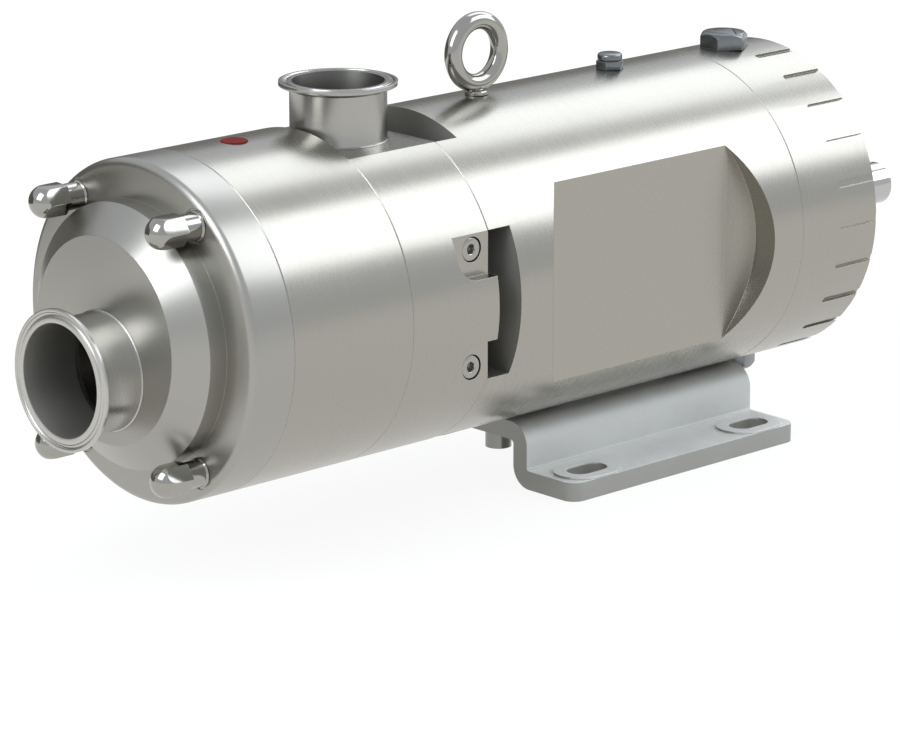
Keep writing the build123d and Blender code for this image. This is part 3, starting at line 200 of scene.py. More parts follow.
def blasted_finish(name, colour, roughness, grains_per_metre, depth, shaded_side=None, lit_top=None, metallic=1.0):
    """Blasted or plated metal: fine even pits, with faint clouds. The sawn ends and the low upright edges of
    a plate's flanges may take a painted shade, and the flanges' tops a painted light. A rough blast is partly
    dull."""
    material = empty_material(name)
    tree = material.node_tree
    place = add_node(tree, "ShaderNodeTexCoord")
    pits = add_node(tree, "ShaderNodeTexNoise", {"Scale": grains_per_metre, "Detail": 4.0, "Roughness": 0.7},
                    {"Vector": (place, "Object")})
    cloud = add_node(tree, "ShaderNodeTexNoise", {"Scale": CLOUDS_PER_METRE, "Detail": 3.0},
                     {"Vector": (place, "Object")})
    both = add_node(tree, "ShaderNodeMath", {"operation": "ADD"}, {0: (pits, "Fac"), 1: (cloud, "Fac")})
    rough = add_node(tree, "ShaderNodeMapRange", {
        "From Min": 0.6, "From Max": 1.4, "To Min": roughness * 0.85, "To Max": roughness * 1.15},
        {"Value": (both, "Value")})
    facing = add_node(tree, "ShaderNodeSeparateXYZ", {}, {"Vector": (place, "Normal")})
    slant = add_node(tree, "ShaderNodeMath", {"operation": "ABSOLUTE"}, {0: (facing, "X")})
    # Painted shade: faces that face along the shafts, and upright faces low on the flanges, take the darker
    # grey.
    end = add_node(tree, "ShaderNodeMath", {"operation": "GREATER_THAN", 1: FACES_ALONG},
                   {0: (slant, "Value")})
    level = add_node(tree, "ShaderNodeSeparateXYZ", {}, {"Vector": (place, "Object")})
    low = add_node(tree, "ShaderNodeMath", {"operation": "LESS_THAN", 1: FLANGE_TOP}, {0: (level, "Z")})
    upright = add_node(tree, "ShaderNodeMath", {"operation": "COMPARE", 1: 0.0, 2: FACES_LEVEL},
                       {0: (facing, "Z")})
    side = add_node(tree, "ShaderNodeMath", {"operation": "MULTIPLY"},
                    {0: (low, "Value"), 1: (upright, "Value")})
    shaded_face = add_node(tree, "ShaderNodeMath", {"operation": "MAXIMUM"},
                        {0: (end, "Value"), 1: (side, "Value")})
    # Painted light: upward faces low on the flanges and their lands take the paler grey.
    upward = add_node(tree, "ShaderNodeMath", {"operation": "GREATER_THAN", 1: FACES_ALONG},
                      {0: (facing, "Z")})
    on_flange = add_node(tree, "ShaderNodeMath", {"operation": "LESS_THAN", 1: LAND_TOP}, {0: (level, "Z")})
    top = add_node(tree, "ShaderNodeMath", {"operation": "MULTIPLY"},
                   {0: (upward, "Value"), 1: (on_flange, "Value")})
    plate = add_node(tree, "ShaderNodeMix", {
        "data_type": "RGBA", 6: linear(colour), 7: linear(lit_top or colour)}, {0: (top, "Value")})
    steel = add_node(tree, "ShaderNodeMix", {"data_type": "RGBA", 7: linear(shaded_side or colour)},
                     {0: (shaded_face, "Value"), 6: (plate, 2)})
    light = add_node(tree, "ShaderNodeMapRange", {
        "From Min": 0.6, "From Max": 1.4, "To Min": 0.92, "To Max": 1.08}, {"Value": (both, "Value")})
    tone = add_node(tree, "ShaderNodeHueSaturation", {}, {"Color": (steel, 2), "Value": (light, "Result")})
    edge = add_node(tree, "ShaderNodeBevel", {"samples": EDGE_SAMPLES, "Radius": PLATE_EDGE})
    bump = add_node(tree, "ShaderNodeBump", {"Strength": 0.3, "Distance": depth},
                    {"Height": (pits, "Fac"), "Normal": (edge, "Normal")})
    metal = add_node(tree, "ShaderNodeBsdfPrincipled", {"Metallic": metallic}, {
        "Base Color": (tone, "Color"), "Roughness": (rough, "Result"), "Normal": (bump, "Normal")})
    add_node(tree, "ShaderNodeOutputMaterial", {}, {"Surface": (metal, 0)})
    return material


def dress(material, *names):
    """Gives CAD nodes their finish."""
    for name in names:
        slots = nodes[name].data.materials
        if not slots:
            slots.append(material)
        for i in range(len(slots)):
            slots[i] = material


# Blasting leaves a matt grey with no clear reflection. The sawn ends and the low upright edges of the flanges
# are painted darker, a painted shade, and the flanges' tops paler, a painted light. Real pits are about 0.1
# mm wide.
# They are drawn about ten times as coarse, so that they show.
BLASTED_STEEL = "#c9cac6"
# Painted shade: a darker grey for the sawn ends and the low upright edges of the flanges.
SHADED_SIDE_STEEL = "#9d9c96"
# Painted light: a paler grey for the upward faces of the flanges and their lands.
LIT_TOP_STEEL = "#f2f2ef"
BLASTED_ROUGHNESS = 0.6
PITS_PER_METRE = 900.0
PIT_DEPTH = 0.00008
DULL_METAL = 0.6
blasted_steel = blasted_finish("bead blasted stainless", BLASTED_STEEL, BLASTED_ROUGHNESS, PITS_PER_METRE,
                               PIT_DEPTH, SHADED_SIDE_STEEL, LIT_TOP_STEEL, DULL_METAL)
dress(blasted_steel, "foot_bracket")


# Bearing housing, and the body rings after it: 316L stainless steel, turned on a lathe and satin finished.
# The tool leaves fine rings round the axis, and the finish spreads reflections into soft bands.
TURNED_STEEL = "#a29f96"
TURNED_ROUGHNESS = 0.27
# Painted light: a slightly paler, less yellow grey than the outside, which lightens the housing's bore and
# window recess.
RECESS_LIGHT_STEEL = "#a6a49e"
HOUSING_BORE = 0.0875
WINDOW_RADIUS = 0.1105
WINDOW_MIDDLE = -0.078
WINDOW_REACH = 0.0098
EDGE_BREAK = 0.0004
PUMP_AXIS = (0.0, 0.0, 0.158)
ALONG_X = (1.0, 0.0, 0.0)
ALONG_Z = (0.0, 0.0, 1.0)
# Real tool marks are about 0.15 mm apart. They are drawn about ten times as coarse, so that they show.
MARKS_PER_METRE = 700.0
MARK_DEPTH = 0.000002
STAINS_PER_METRE = 22.0


def turned_finish(name, colour, roughness, centre, axis, marks=MARKS_PER_METRE, bore=0.0, dulling=0.35,
                  window=0.0, grain=0.35, recess_paint=RECESS_LIGHT_STEEL):
    """Turned metal, with rings that follow the tool round an axis through a centre. Inside the bore's
    radius, and inside the window's radius at the seal gap, the metal has a duller finish and a separate
    colour:
    painted light where it is paler than the outside, painted shade where darker. A grain spreads reflections
    across the rings."""
    material = empty_material(name)
    tree = material.node_tree
    place = add_node(tree, "ShaderNodeTexCoord")
    arm = add_node(tree, "ShaderNodeVectorMath", {"operation": "SUBTRACT", 1: centre},
                   {0: (place, "Object")})
    along = add_node(tree, "ShaderNodeVectorMath", {"operation": "DOT_PRODUCT", 1: axis},
                     {0: (arm, "Vector")})
    across = add_node(tree, "ShaderNodeVectorMath", {"operation": "SCALE", 0: axis},
                      {"Scale": (along, "Value")})
    out = add_node(tree, "ShaderNodeVectorMath", {"operation": "SUBTRACT"},
                   {0: (arm, "Vector"), 1: (across, "Vector")})
    radius = add_node(tree, "ShaderNodeVectorMath", {"operation": "LENGTH"}, {0: (out, "Vector")})
    tool = add_node(tree, "ShaderNodeCombineXYZ", {}, {"X": (along, "Value"), "Y": (radius, "Value")})
    rings = add_node(tree, "ShaderNodeTexNoise", {"Scale": marks, "Detail": 3.0, "Roughness": 0.6},
                     {"Vector": (tool, "Vector")})
    cloud = add_node(tree, "ShaderNodeTexNoise", {"Scale": STAINS_PER_METRE, "Detail": 2.0},
                     {"Vector": (place, "Object")})
    both = add_node(tree, "ShaderNodeMath", {"operation": "ADD"}, {0: (rings, "Fac"), 1: (cloud, "Fac")})
    rough = add_node(tree, "ShaderNodeMapRange", {
        "From Min": 0.6, "From Max": 1.4, "To Min": roughness * 0.92, "To Max": roughness * 1.08},
        {"Value": (both, "Value")})
    bored = add_node(tree, "ShaderNodeMath", {"operation": "LESS_THAN", 1: bore}, {0: (radius, "Value")})
    below = add_node(tree, "ShaderNodeMath", {"operation": "LESS_THAN", 1: window}, {0: (radius, "Value")})
    gap = add_node(tree, "ShaderNodeMath", {"operation": "COMPARE", 1: WINDOW_MIDDLE, 2: WINDOW_REACH},
                   {0: (along, "Value")})
    milled = add_node(tree, "ShaderNodeMath", {"operation": "MULTIPLY"},
                      {0: (below, "Value"), 1: (gap, "Value")})
    inside = add_node(tree, "ShaderNodeMath", {"operation": "MAXIMUM"},
                      {0: (bored, "Value"), 1: (milled, "Value")})
    duller = add_node(tree, "ShaderNodeMath", {"operation": "MULTIPLY_ADD", 1: dulling},
                      {0: (inside, "Value"), 2: (rough, "Result")})
    # The recess colour is painted light or painted shade, set per material, not a colour of the metal.
    skin = add_node(tree, "ShaderNodeMix", {
        "data_type": "RGBA", 6: linear(colour), 7: linear(recess_paint)}, {0: (inside, "Value")})
    edge = add_node(tree, "ShaderNodeBevel", {"samples": EDGE_SAMPLES, "Radius": EDGE_BREAK})
    bump = add_node(tree, "ShaderNodeBump", {"Strength": 0.25, "Distance": MARK_DEPTH},
                    {"Height": (rings, "Fac"), "Normal": (edge, "Normal")})
    ring_way = add_node(tree, "ShaderNodeVectorMath", {"operation": "CROSS_PRODUCT", 0: axis},
                        {1: (out, "Vector")})
    metal = add_node(tree, "ShaderNodeBsdfPrincipled", {
        "Metallic": 1.0, "Anisotropic": grain, "Anisotropic Rotation": 0.25}, {
        "Base Color": (skin, 2), "Roughness": (duller, "Value"), "Normal": (bump, "Normal"),
        "Tangent": (ring_way, "Vector")})
    add_node(tree, "ShaderNodeOutputMaterial", {}, {"Surface": (metal, 0)})
    return material


turned_steel = turned_finish("turned satin stainless", TURNED_STEEL, TURNED_ROUGHNESS, PUMP_AXIS, ALONG_X,
                             bore=HOUSING_BORE, window=WINDOW_RADIUS)
dress(turned_steel, "bearing_housing", "rear_cover", "outlet_casing", "screw_casing", "gland_plate")


# Bearings, gears, their keys and fasteners: carbon steel, cut and ground, and pressed or screwed in place
# behind the covers. Left plain, it is darker than the stainless steel outside, with closer tool marks.
MACHINED_STEEL = "#8b8a86"
MACHINED_ROUGHNESS = 0.3
CLOSE_MARKS = 900.0
machined_steel = turned_finish("plain machined steel", MACHINED_STEEL, MACHINED_ROUGHNESS, PUMP_AXIS, ALONG_X,
                               marks=CLOSE_MARKS)
dress(machined_steel, "front_bearing_outer_rings", "front_bearing_rollers", "bearing_carrier",
      "rear_bearing_outer_rings", "outboard_bearing", "rear_cover_screws", "carrier_screws", "foot_bolts",
      "drive_inner_rings", "idler_inner_rings", "drive_gear", "idler_gear", "drive_gear_key",
      "idler_gear_key", "drive_screw_key", "idler_screw_key", "drive_locknut", "idler_locknut")


# Shafts, pump screws, seal heads and studs: stainless steel, ground and polished where the product
# touches it. The polish mirrors the studio almost sharply, with no grain across the rings.
POLISHED_STEEL = "#b6b5b2"
POLISHED_ROUGHNESS = 0.1
polished_steel = turned_finish("polished stainless", POLISHED_STEEL, POLISHED_ROUGHNESS, PUMP_AXIS, ALONG_X,
                               grain=0.0)
dress(polished_steel, "cover_studs", "gland_screws", "drive_screw", "idler_screw", "drive_shaft",
      "idler_shaft", "drive_screw_nut", "idler_screw_nut", "drive_seal_head", "idler_seal_head")


# Soft and coloured pieces: rubber seals moulded matt, lapped ceramic seats and the enamelled red marker.
# Each has a faint grain, so that none of them is a flat colour.
def moulded_finish(name, colour, roughness, grains_per_metre, depth, shine=0.5):
    """Moulded, lapped or enamelled surface, with a fine uneven skin."""
    material = empty_material(name)
    tree = material.node_tree
    place = add_node(tree, "ShaderNodeTexCoord")
    skin = add_node(tree, "ShaderNodeTexNoise", {"Scale": grains_per_metre, "Detail": 3.0},
                    {"Vector": (place, "Object")})
    rough = add_node(tree, "ShaderNodeMapRange", {
        "From Min": 0.3, "From Max": 0.7, "To Min": roughness * 0.85, "To Max": roughness * 1.15},
        {"Value": (skin, "Fac")})
    bump = add_node(tree, "ShaderNodeBump", {"Strength": 0.2, "Distance": depth}, {"Height": (skin, "Fac")})
    coat = add_node(tree, "ShaderNodeBsdfPrincipled", {
        "Base Color": linear(colour), "Specular IOR Level": shine},
        {"Roughness": (rough, "Result"), "Normal": (bump, "Normal")})
    add_node(tree, "ShaderNodeOutputMaterial", {}, {"Surface": (coat, 0)})
    return material


# Rubber is matt and nearly black, the lapped ceramic dark with a low sheen, and the enamel a deep red
# that hardly shines. The rubber's skin is drawn coarser than the real one, so that it shows.
rubber = moulded_finish("moulded rubber", "#1c1c1d", roughness=0.6, grains_per_metre=1200.0, depth=0.00005)
ceramic = moulded_finish("lapped ceramic", "#3b3c40", roughness=0.25, grains_per_metre=400.0, depth=0.00001)
enamel = moulded_finish("red enamel", "#68120d", roughness=0.7, grains_per_metre=300.0, depth=0.00003,
                        shine=0.15)
dress(rubber, "cover_seal", "casing_seal", "rear_cover_seal", "lip_seals", "shaft_seal")
dress(ceramic, "seal_seats")
dress(enamel, "marker_plug")


# Clamp ferrules: a 3 inch inlet and a 2.5 inch outlet of 316L stainless steel, each turned from bar with
# a cone for its clamp ring and a half round gasket groove, let into its socket and welded round.
MERGE_DISTANCE = 0.000005
SOCKET_DEPTH = 0.006
CLAMP_RIM = 0.00285
CLAMP_SLOPE = math.tan(math.radians(20.0))
GROOVE_HALF_WIDTH = 0.0016
GROOVE_DEPTH = 0.0014
GROOVE_INSET = 0.0036
BEAD = 0.0009
FERRULE_EDGE = 0.0003


def turned_piece(name, profile, solid=False, sides=96):
    """A turned piece that stands on the origin, from the (radius, height) corners of its outline."""
    bpy.ops.object.select_all(action="DESELECT")
    radius, height = profile[0]
    fill = "NGON" if solid else "NOTHING"
    bpy.ops.mesh.primitive_circle_add(vertices=sides, radius=radius, fill_type=fill, location=(0, 0, height))
    piece = bpy.context.object
    piece.name = name
    bpy.ops.object.transform_apply(location=True, rotation=True, scale=True)
    bpy.ops.object.mode_set(mode="EDIT")
    bpy.ops.mesh.select_all(action="SELECT")
    for wide, high in profile[1:]:
        bpy.ops.mesh.extrude_region_move(TRANSFORM_OT_translate={"value": (0, 0, high - height)})
        bpy.ops.transform.resize(value=(wide / radius, wide / radius, 1), center_override=(0, 0, high))
        radius, height = wide, high
    bpy.ops.object.mode_set(mode="OBJECT")
    return piece


def round_edges(piece, width, steps=2, angle=25.0):
    """Breaks every sharp edge by a small radius."""
    bevel = piece.modifiers.new("edges", "BEVEL")
    bevel.width = width
    bevel.segments = steps
    bevel.limit_method = "ANGLE"
    bevel.angle_limit = math.radians(angle)
    bpy.context.view_layer.objects.active = piece
    bpy.ops.object.modifier_apply(modifier=bevel.name)


def settle(piece, place, lean=(0.0, 0.0, 0.0)):
    """Puts a piece in its place, and moves that place into its mesh."""
    bpy.ops.object.select_all(action="DESELECT")
    piece.select_set(True)
    bpy.context.view_layer.objects.active = piece
    piece.location = place
    piece.rotation_euler = lean
    bpy.ops.object.transform_apply(location=True, rotation=True, scale=True)


def join(name, pieces):
    """One piece of several, under a new name."""
    bpy.ops.object.select_all(action="DESELECT")
    for piece in pieces:
        piece.select_set(True)
    bpy.context.view_layer.objects.active = pieces[0]
    bpy.ops.object.join()
    pieces[0].name = name
    return pieces[0]


def close_seams(piece):
    """Merges a piece's doubled points and turns its faces outwards."""
    bpy.ops.object.select_all(action="DESELECT")
    piece.select_set(True)
    bpy.context.view_layer.objects.active = piece
    bpy.ops.object.mode_set(mode="EDIT")
    bpy.ops.mesh.select_all(action="SELECT")
    bpy.ops.mesh.remove_doubles(threshold=MERGE_DISTANCE)
    bpy.ops.mesh.normals_make_consistent(inside=False)
    bpy.ops.object.mode_set(mode="OBJECT")


def fit_to_pump(piece, material, node, crease=35.0):
    """Cleans a piece's mesh, gives it its finish and puts it on the housing for its CAD node."""
    close_seams(piece)
    bpy.ops.object.shade_smooth_by_angle(angle=math.radians(crease))
    piece.data.materials.clear()
    piece.data.materials.append(material)
    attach(piece, "housing")
    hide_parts(node)


def arc(middle, wide, high, start, stop, steps):
    """Points of an arc between two angles in degrees, for a profile."""
    turns = [math.radians(start + (stop - start) * i / steps) for i in range(steps + 1)]
    return [(middle[0] + wide * math.cos(turn), middle[1] + high * math.sin(turn)) for turn in turns]


def clamp_ferrule(name, tube, bore, flange, reach):
    """A ferrule that stands on the origin, with its foot in the socket under it."""
    under = reach - CLAMP_RIM
    neck = under - (flange - tube) * CLAMP_SLOPE
    groove = flange - GROOVE_INSET
    profile = [(bore, -SOCKET_DEPTH), (tube, -SOCKET_DEPTH), (tube, 0.0)]
    profile += arc((tube, 0.0), BEAD, BEAD * 0.8, 0.0, 90.0, 4)
    profile += [(tube, neck), (flange, under), (flange, reach)]
    profile += arc((groove, reach), GROOVE_HALF_WIDTH, GROOVE_DEPTH, 0.0, -180.0, 8)
    profile += [(bore, reach), (bore, -SOCKET_DEPTH)]
    piece = turned_piece(name, profile, sides=128)
    close_seams(piece)
    round_edges(piece, FERRULE_EDGE)
    return piece


INLET_PLACE = (-0.324, 0.0, 0.1387)
INLET_TUBE = 0.0381
INLET_BORE = 0.03645
INLET_FLANGE = 0.0455
INLET_REACH = 0.035
OUTLET_PLACE = (-0.1265, 0.0, 0.2572)
OUTLET_TUBE = 0.03175
OUTLET_BORE = 0.0301
OUTLET_FLANGE = 0.03875
OUTLET_REACH = 0.0388
BORE_MARGIN = 0.0004
TO_SUCTION = (0.0, -math.pi / 2, 0.0)

# Fine turning gives a satin steel with soft bands round each tube. The inlet's steel is paler than the
# outlet's, a painted light on its tube. The bores are duller, and their darker colours are painted shade.
# Painted light: the inlet is paler than the outlet, which is the same steel, so that its tube shows brighter.
INLET_LIT_STEEL = "#bdbbb5"
# Painted shade: a darker grey in the inlet's bore.
INLET_BORE_SHADE = "#9c9a94"
OUTLET_STEEL = "#a7a59f"
# Painted shade: a darker grey in the outlet's bore.
OUTLET_BORE_SHADE = "#72716b"
inlet_steel = turned_finish("turned inlet stainless", INLET_LIT_STEEL, 0.28, INLET_PLACE, ALONG_X,
                            bore=INLET_BORE + BORE_MARGIN, dulling=0.25, recess_paint=INLET_BORE_SHADE)
outlet_steel = turned_finish("turned outlet stainless", OUTLET_STEEL, 0.25, OUTLET_PLACE, ALONG_Z,
                             bore=OUTLET_BORE + BORE_MARGIN, dulling=0.15, recess_paint=OUTLET_BORE_SHADE)
inlet = clamp_ferrule("inlet_clamp_ferrule", INLET_TUBE, INLET_BORE, INLET_FLANGE, INLET_REACH)
settle(inlet, INLET_PLACE, TO_SUCTION)
fit_to_pump(inlet, inlet_steel, "inlet_ferrule")
outlet = clamp_ferrule("outlet_clamp_ferrule", OUTLET_TUBE, OUTLET_BORE, OUTLET_FLANGE, OUTLET_REACH)
settle(outlet, OUTLET_PLACE)
fit_to_pump(outlet, outlet_steel, "outlet_ferrule")


# Front cover: 316L stainless steel, turned in one piece with its stepped hub and cone. The suction
# chamber is bored behind it, the inlet's socket before it, and a spot face is milled for each nut.
COVER_BACK = -0.262
STUD_Y = 0.0575
STUD_Z = 0.079
AXIS_HEIGHT = 0.158
COVER_RADIUS = 0.111
COVER_RIM = 0.0336
COVER_RIM_ROUND = 0.005
EDGE_CHAMFER = 0.0005
HUB_RADIUS = 0.0855
HUB_TOP = 0.047
CONE_RADIUS = 0.0668
CONE_TOP = 0.062
COVER_WALL = 0.009
MOUTH_RADIUS = 0.0843
PORT_RADIUS = 0.03695
PORT_DEPTH = 0.006
SPOT_FACE_RADIUS = 0.011
SPOT_FACE_DEPTH = 0.0006
COVER_EDGE = 0.0004
OVERLAP = 0.001
CORNERS = ((-1, -1), (-1, 1), (1, -1), (1, 1))


def cut(piece, tool, operation):
    """Trims a piece with a turned tool shape, which is then thrown away."""
    trim = piece.modifiers.new("trim", "BOOLEAN")
    trim.operation = operation
    trim.solver = "EXACT"
    trim.object = tool
    bpy.context.view_layer.objects.active = piece
    bpy.ops.object.modifier_apply(modifier=trim.name)
    bpy.data.objects.remove(tool)


def pocket(piece, radius, bottom, top, y, z, sides=96):
    """Sinks a round pocket into the cover's front, between two heights over its back."""
    tool = turned_piece("pocket", [(radius, bottom), (radius, top)], solid=True, sides=sides)
    settle(tool, (COVER_BACK, y, z), TO_SUCTION)
    cut(piece, tool, "DIFFERENCE")


chamber = [
    (CONE_RADIUS - COVER_WALL, CONE_TOP - COVER_WALL), (HUB_RADIUS - COVER_WALL, HUB_TOP),
    (HUB_RADIUS - COVER_WALL, COVER_RIM), (MOUTH_RADIUS, COVER_RIM - COVER_WALL), (MOUTH_RADIUS, 0.0)]
rim_middle = (COVER_RADIUS - COVER_RIM_ROUND, COVER_RIM - COVER_RIM_ROUND)
rim = [(COVER_RADIUS - EDGE_CHAMFER, 0.0), (COVER_RADIUS, EDGE_CHAMFER)]
rim += arc(rim_middle, COVER_RIM_ROUND, COVER_RIM_ROUND, 0, 90, 8)
hub = [(HUB_RADIUS, COVER_RIM), (HUB_RADIUS, HUB_TOP), (CONE_RADIUS, CONE_TOP)]
front_cover = turned_piece("stepped_front_cover", chamber + rim + hub, solid=True, sides=192)
settle(front_cover, (COVER_BACK, 0.0, AXIS_HEIGHT), TO_SUCTION)
pocket(front_cover, INLET_TUBE, CONE_TOP - SOCKET_DEPTH, CONE_TOP + OVERLAP, 0.0, INLET_PLACE[2])
pocket(front_cover, PORT_RADIUS, HUB_TOP - PORT_DEPTH, CONE_TOP, 0.0, INLET_PLACE[2])
for side, level in CORNERS:
    pocket(front_cover, SPOT_FACE_RADIUS, COVER_RIM - SPOT_FACE_DEPTH, COVER_RIM + OVERLAP,
           side * STUD_Y, AXIS_HEIGHT + level * STUD_Z, sides=64)
round_edges(front_cover, COVER_EDGE, 2, 30.0)

# Facing with a round nosed tool leaves a stronger grain than turning does, so bright fans cross the cover.
COVER_STEEL = "#a4a29b"
cover_steel = turned_finish("turned cover stainless", COVER_STEEL, 0.33, PUMP_AXIS, ALONG_X, grain=0.45)
fit_to_pump(front_cover, cover_steel, "front_cover")


# Domed nuts: four long nuts of polished stainless steel on the cover studs, each with a flanged collar,
# a hexagon and a turned dome that cuts the six flats back in arcs.
NUT_FLATS = 0.019
NUT_CORNER = NUT_FLATS / math.sqrt(3)
NUT_DOME = 0.01085
NUT_DOME_START = 0.027
NUT_COLLAR = 0.0088
NUT_COLLAR_LENGTH = 0.014
NUT_FLANGE = 0.0097
NUT_FLANGE_WIDTH = 0.0013
NUT_FLANGE_BREAK = 0.0016
NUT_FLANGE_END = 0.0024
NUT_EDGE = 0.00015
COVER_FACE = -0.295
NUT_TURNS = (0.06, -0.03, 0.1, -0.08)


def hexagon_bar(name, flats, bottom, top, turn=0.0):
    """Hexagonal bar between two heights."""
    bpy.ops.object.select_all(action="DESELECT")
    bpy.ops.mesh.primitive_circle_add(
        vertices=6, radius=flats / math.sqrt(3), fill_type="NGON", location=(0, 0, bottom),
        rotation=(0, 0, turn))
    bar = bpy.context.object
    bar.name = name
    bpy.ops.object.transform_apply(location=True, rotation=True, scale=True)
    bpy.ops.object.mode_set(mode="EDIT")
    bpy.ops.mesh.select_all(action="SELECT")
    bpy.ops.mesh.extrude_region_move(TRANSFORM_OT_translate={"value": (0, 0, top - bottom)})
    bpy.ops.mesh.select_all(action="SELECT")
    bpy.ops.mesh.normals_make_consistent(inside=False)
    bpy.ops.object.mode_set(mode="OBJECT")
    return bar


def dome_nut(name, turn):
    """A nut that stands on its seat at the origin."""
    collar = turned_piece(name, [
        (NUT_FLANGE, 0.0), (NUT_FLANGE, NUT_FLANGE_WIDTH), (NUT_FLANGE - 0.0002, NUT_FLANGE_BREAK),
        (NUT_COLLAR, NUT_FLANGE_END), (NUT_COLLAR, NUT_COLLAR_LENGTH + OVERLAP)], solid=True, sides=64)
    hexagon = hexagon_bar("hexagon", NUT_FLATS, NUT_COLLAR_LENGTH, NUT_DOME_START + NUT_DOME * 1.1, turn)
    dome = arc((0.0, NUT_DOME_START), NUT_DOME, NUT_DOME, 0.0, 89.0, 14)
    envelope = turned_piece("envelope", [
        (NUT_CORNER * 0.97, NUT_COLLAR_LENGTH - OVERLAP), (NUT_CORNER * 0.97, NUT_COLLAR_LENGTH),
        (NUT_DOME * 1.008, NUT_COLLAR_LENGTH + 0.0006)] + dome, solid=True, sides=96)
    cut(hexagon, envelope, "INTERSECT")
    round_edges(hexagon, NUT_EDGE, 2, 20.0)
    return join(name, [collar, hexagon])


# Tumbling and polishing make small fasteners mirror the studio's boxes and card with soft outlines.
BRIGHT_STEEL = "#a09e97"
bright_steel = turned_finish("polished bright stainless", BRIGHT_STEEL, 0.12, PUMP_AXIS, ALONG_X, grain=0.0)
nuts = []
for number, (side, level) in enumerate(CORNERS):
    nut = dome_nut(f"dome_nut_{number}", NUT_TURNS[number])
    settle(nut, (COVER_FACE, side * STUD_Y, AXIS_HEIGHT + level * STUD_Z), TO_SUCTION)
    nuts.append(nut)
fit_to_pump(join("domed_nuts", nuts), bright_steel, "dome_nuts", crease=12.0)


# Casing screws: M10 socket head screws of stainless steel in the milled side pads. Each head is turned
# with a chamfered rim, and its hexagon socket is punched into a drilled cone.
SCREW_HEAD = 0.008
SCREW_HEAD_HEIGHT = 0.0101
SCREW_CHAMFER = 0.0008
SCREW_SOCKET = 0.006
SCREW_SOCKET_DEPTH = 0.005
SCREW_SOCKET_TURN = 0.3
SCREW_LEAD_DEPTH = 0.0006
SCREW_SHANK = 0.005
SCREW_EDGE = 0.0003
SCREW_SEAT_Y = 0.089
SCREW_X = -0.102
SCREW_Z = 0.039
SCREW_GRIP = 0.0152
screws = []
for number, (side, level) in enumerate(CORNERS):
    head = turned_piece(f"casing_screw_{number}", [
        (SCREW_SHANK, -SCREW_GRIP), (SCREW_SHANK, 0.0), (SCREW_HEAD, 0.0),
        (SCREW_HEAD, SCREW_HEAD_HEIGHT - SCREW_CHAMFER),
        (SCREW_HEAD - SCREW_CHAMFER, SCREW_HEAD_HEIGHT)], solid=True, sides=64)
    socket = hexagon_bar("socket", SCREW_SOCKET, SCREW_HEAD_HEIGHT - SCREW_SOCKET_DEPTH,
                         SCREW_HEAD_HEIGHT + OVERLAP, SCREW_SOCKET_TURN * number)
    cut(head, socket, "DIFFERENCE")
    lead = turned_piece("lead", [
        (SCREW_SOCKET * 0.5, SCREW_HEAD_HEIGHT - SCREW_LEAD_DEPTH),
        (SCREW_SOCKET * 0.68, SCREW_HEAD_HEIGHT + 0.0003)], solid=True, sides=64)
    cut(head, lead, "DIFFERENCE")
    round_edges(head, SCREW_EDGE, 1, 30.0)
    seat = (SCREW_X, side * SCREW_SEAT_Y, AXIS_HEIGHT + level * SCREW_Z)
    settle(head, seat, (-side * math.pi / 2, 0.0, 0.0))
    screws.append(head)
fit_to_pump(join("socket_screws", screws), bright_steel, "casing_screws")


# Eyebolt: an M12 lifting eye of stainless steel, drop forged, tumbled bright and screwed into the crown
# down to its turned collar. The ring flows into the collar through a short waist.
EYE_X = -0.0035
EYE_MIDDLE = 0.2977
EYE_RADIUS = 0.021
EYE_SECTION = 0.006
CROWN = 0.269
EYE_COLLAR_OUTLINE = [
    (0.006, -0.016), (0.006, 0.0), (0.0078, 0.0002), (0.0078, 0.0022), (0.0072, 0.0029), (0.0058, 0.0032),
    (0.0051, 0.0038), (0.0049, 0.0048), (0.0050, 0.0072)]
bpy.ops.object.select_all(action="DESELECT")
bpy.ops.mesh.primitive_torus_add(
    major_radius=EYE_RADIUS, minor_radius=EYE_SECTION, major_segments=96, minor_segments=40,
    location=(EYE_X, 0.0, EYE_MIDDLE), rotation=(math.pi / 2, 0.0, 0.0))
eye = bpy.context.object
eye.name = "lifting_eye"
bpy.ops.object.transform_apply(location=True, rotation=True, scale=True)
collar = turned_piece("eye_collar", EYE_COLLAR_OUTLINE, solid=True, sides=64)
settle(collar, (EYE_X, 0.0, CROWN))
cut(eye, collar, "UNION")
fit_to_pump(eye, bright_steel, "eyebolt")


# Filler and drain plugs: steel hexagons cut from bar, screwed into the top and the bottom of the rear
# cover. A wide chamfer round each head turns its upper edges into arcs.
PLUG_FLATS = 0.030
PLUG_CORNER = PLUG_FLATS / math.sqrt(3)
PLUG_HEAD = 0.011
PLUG_THREAD = 0.010
PLUG_THREAD_LENGTH = 0.0195
PLUG_CHAMFER = 0.0027
PLUG_EDGE = 0.0003
FILLER_PLACE = (0.236, 0.0, 0.2685)
DRAIN_PLACE = (0.249, 0.0, 0.0455)
DRAIN_TURN = 0.2
UPSIDE_DOWN = (math.pi, 0.0, 0.0)


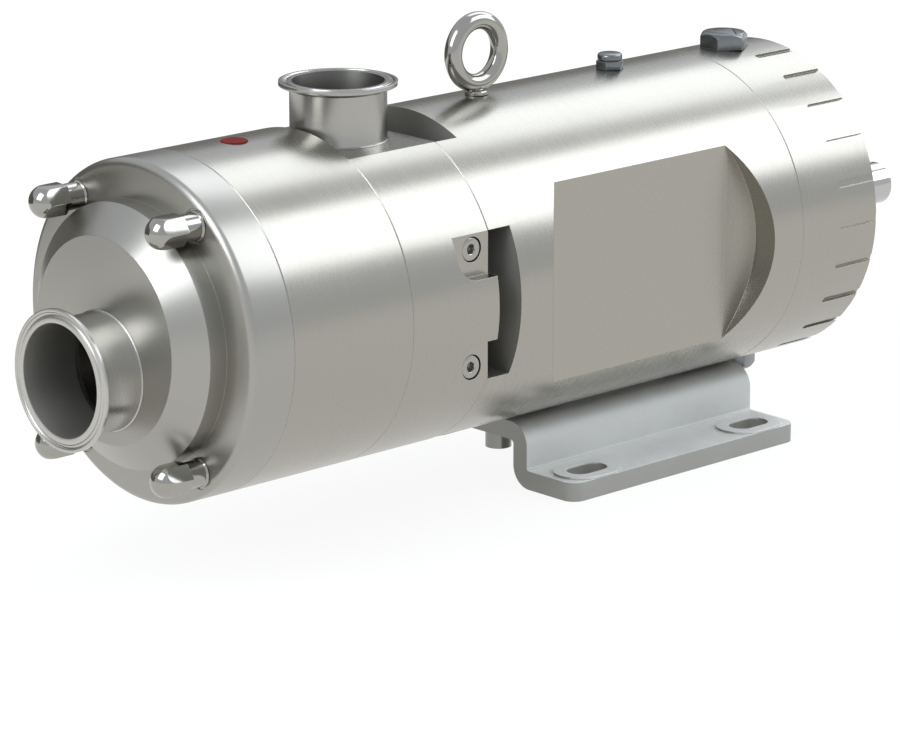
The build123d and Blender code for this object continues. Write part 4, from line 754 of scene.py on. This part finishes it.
def hexagon_plug(name, turn):
    """A plug whose head stands on the origin, with its thread under it."""
    head = hexagon_bar(name, PLUG_FLATS, 0.0, PLUG_HEAD, turn)
    envelope = turned_piece("envelope", [
        (PLUG_CORNER - 0.0004, -0.0001), (PLUG_CORNER, 0.0004), (PLUG_CORNER, PLUG_HEAD - PLUG_CHAMFER),
        (PLUG_FLATS * 0.478, PLUG_HEAD)], solid=True, sides=96)
    cut(head, envelope, "INTERSECT")
    round_edges(head, PLUG_EDGE, 2, 18.0)
    thread = turned_piece("thread", [(PLUG_THREAD, -PLUG_THREAD_LENGTH), (PLUG_THREAD, 0.0002)],
                          solid=True, sides=64)
    return join(name, [head, thread])


# Zinc plating gives a bluish grey with a low satin shine.
ZINC_GREY = "#767a7b"
plated_steel = blasted_finish("zinc plated steel", ZINC_GREY, roughness=0.24, grains_per_metre=500.0,
                              depth=0.00002)
filler = hexagon_plug("hexagon_filler_plug", 0.0)
settle(filler, FILLER_PLACE)
fit_to_pump(filler, plated_steel, "filler_plug")
drain = hexagon_plug("hexagon_drain_plug", DRAIN_TURN)
settle(drain, DRAIN_PLACE, UPSIDE_DOWN)
fit_to_pump(drain, plated_steel, "drain_plug")


# Breather plug: a small hexagon of the same plated steel, screwed into the housing's crown. A turned
# round cap sits on its neck.
BREATHER_PLACE = (0.1225, 0.0, CROWN)
BREATHER_FLATS = 0.017
BREATHER_FOOT = 0.0058
BREATHER_CAP = 0.0085
BREATHER_OUTLINE = [
    (0.005, -0.020), (0.005, 0.0055), (0.0068, 0.0056), (0.0068, 0.0066), (BREATHER_CAP, 0.0068),
    (BREATHER_CAP, 0.0092), (BREATHER_CAP - 0.0003, 0.0100), (BREATHER_CAP - 0.0011, 0.0106),
    (BREATHER_CAP - 0.0025, 0.0109), (0.002, 0.0110)]
breather_foot = hexagon_bar("breather_foot", BREATHER_FLATS, 0.0, BREATHER_FOOT)
round_edges(breather_foot, PLUG_EDGE, 2, 18.0)
breather_cap = turned_piece("breather_cap", BREATHER_OUTLINE, solid=True, sides=64)
breather = join("capped_breather_plug", [breather_foot, breather_cap])
settle(breather, BREATHER_PLACE)
fit_to_pump(breather, plated_steel, "breather_plug")
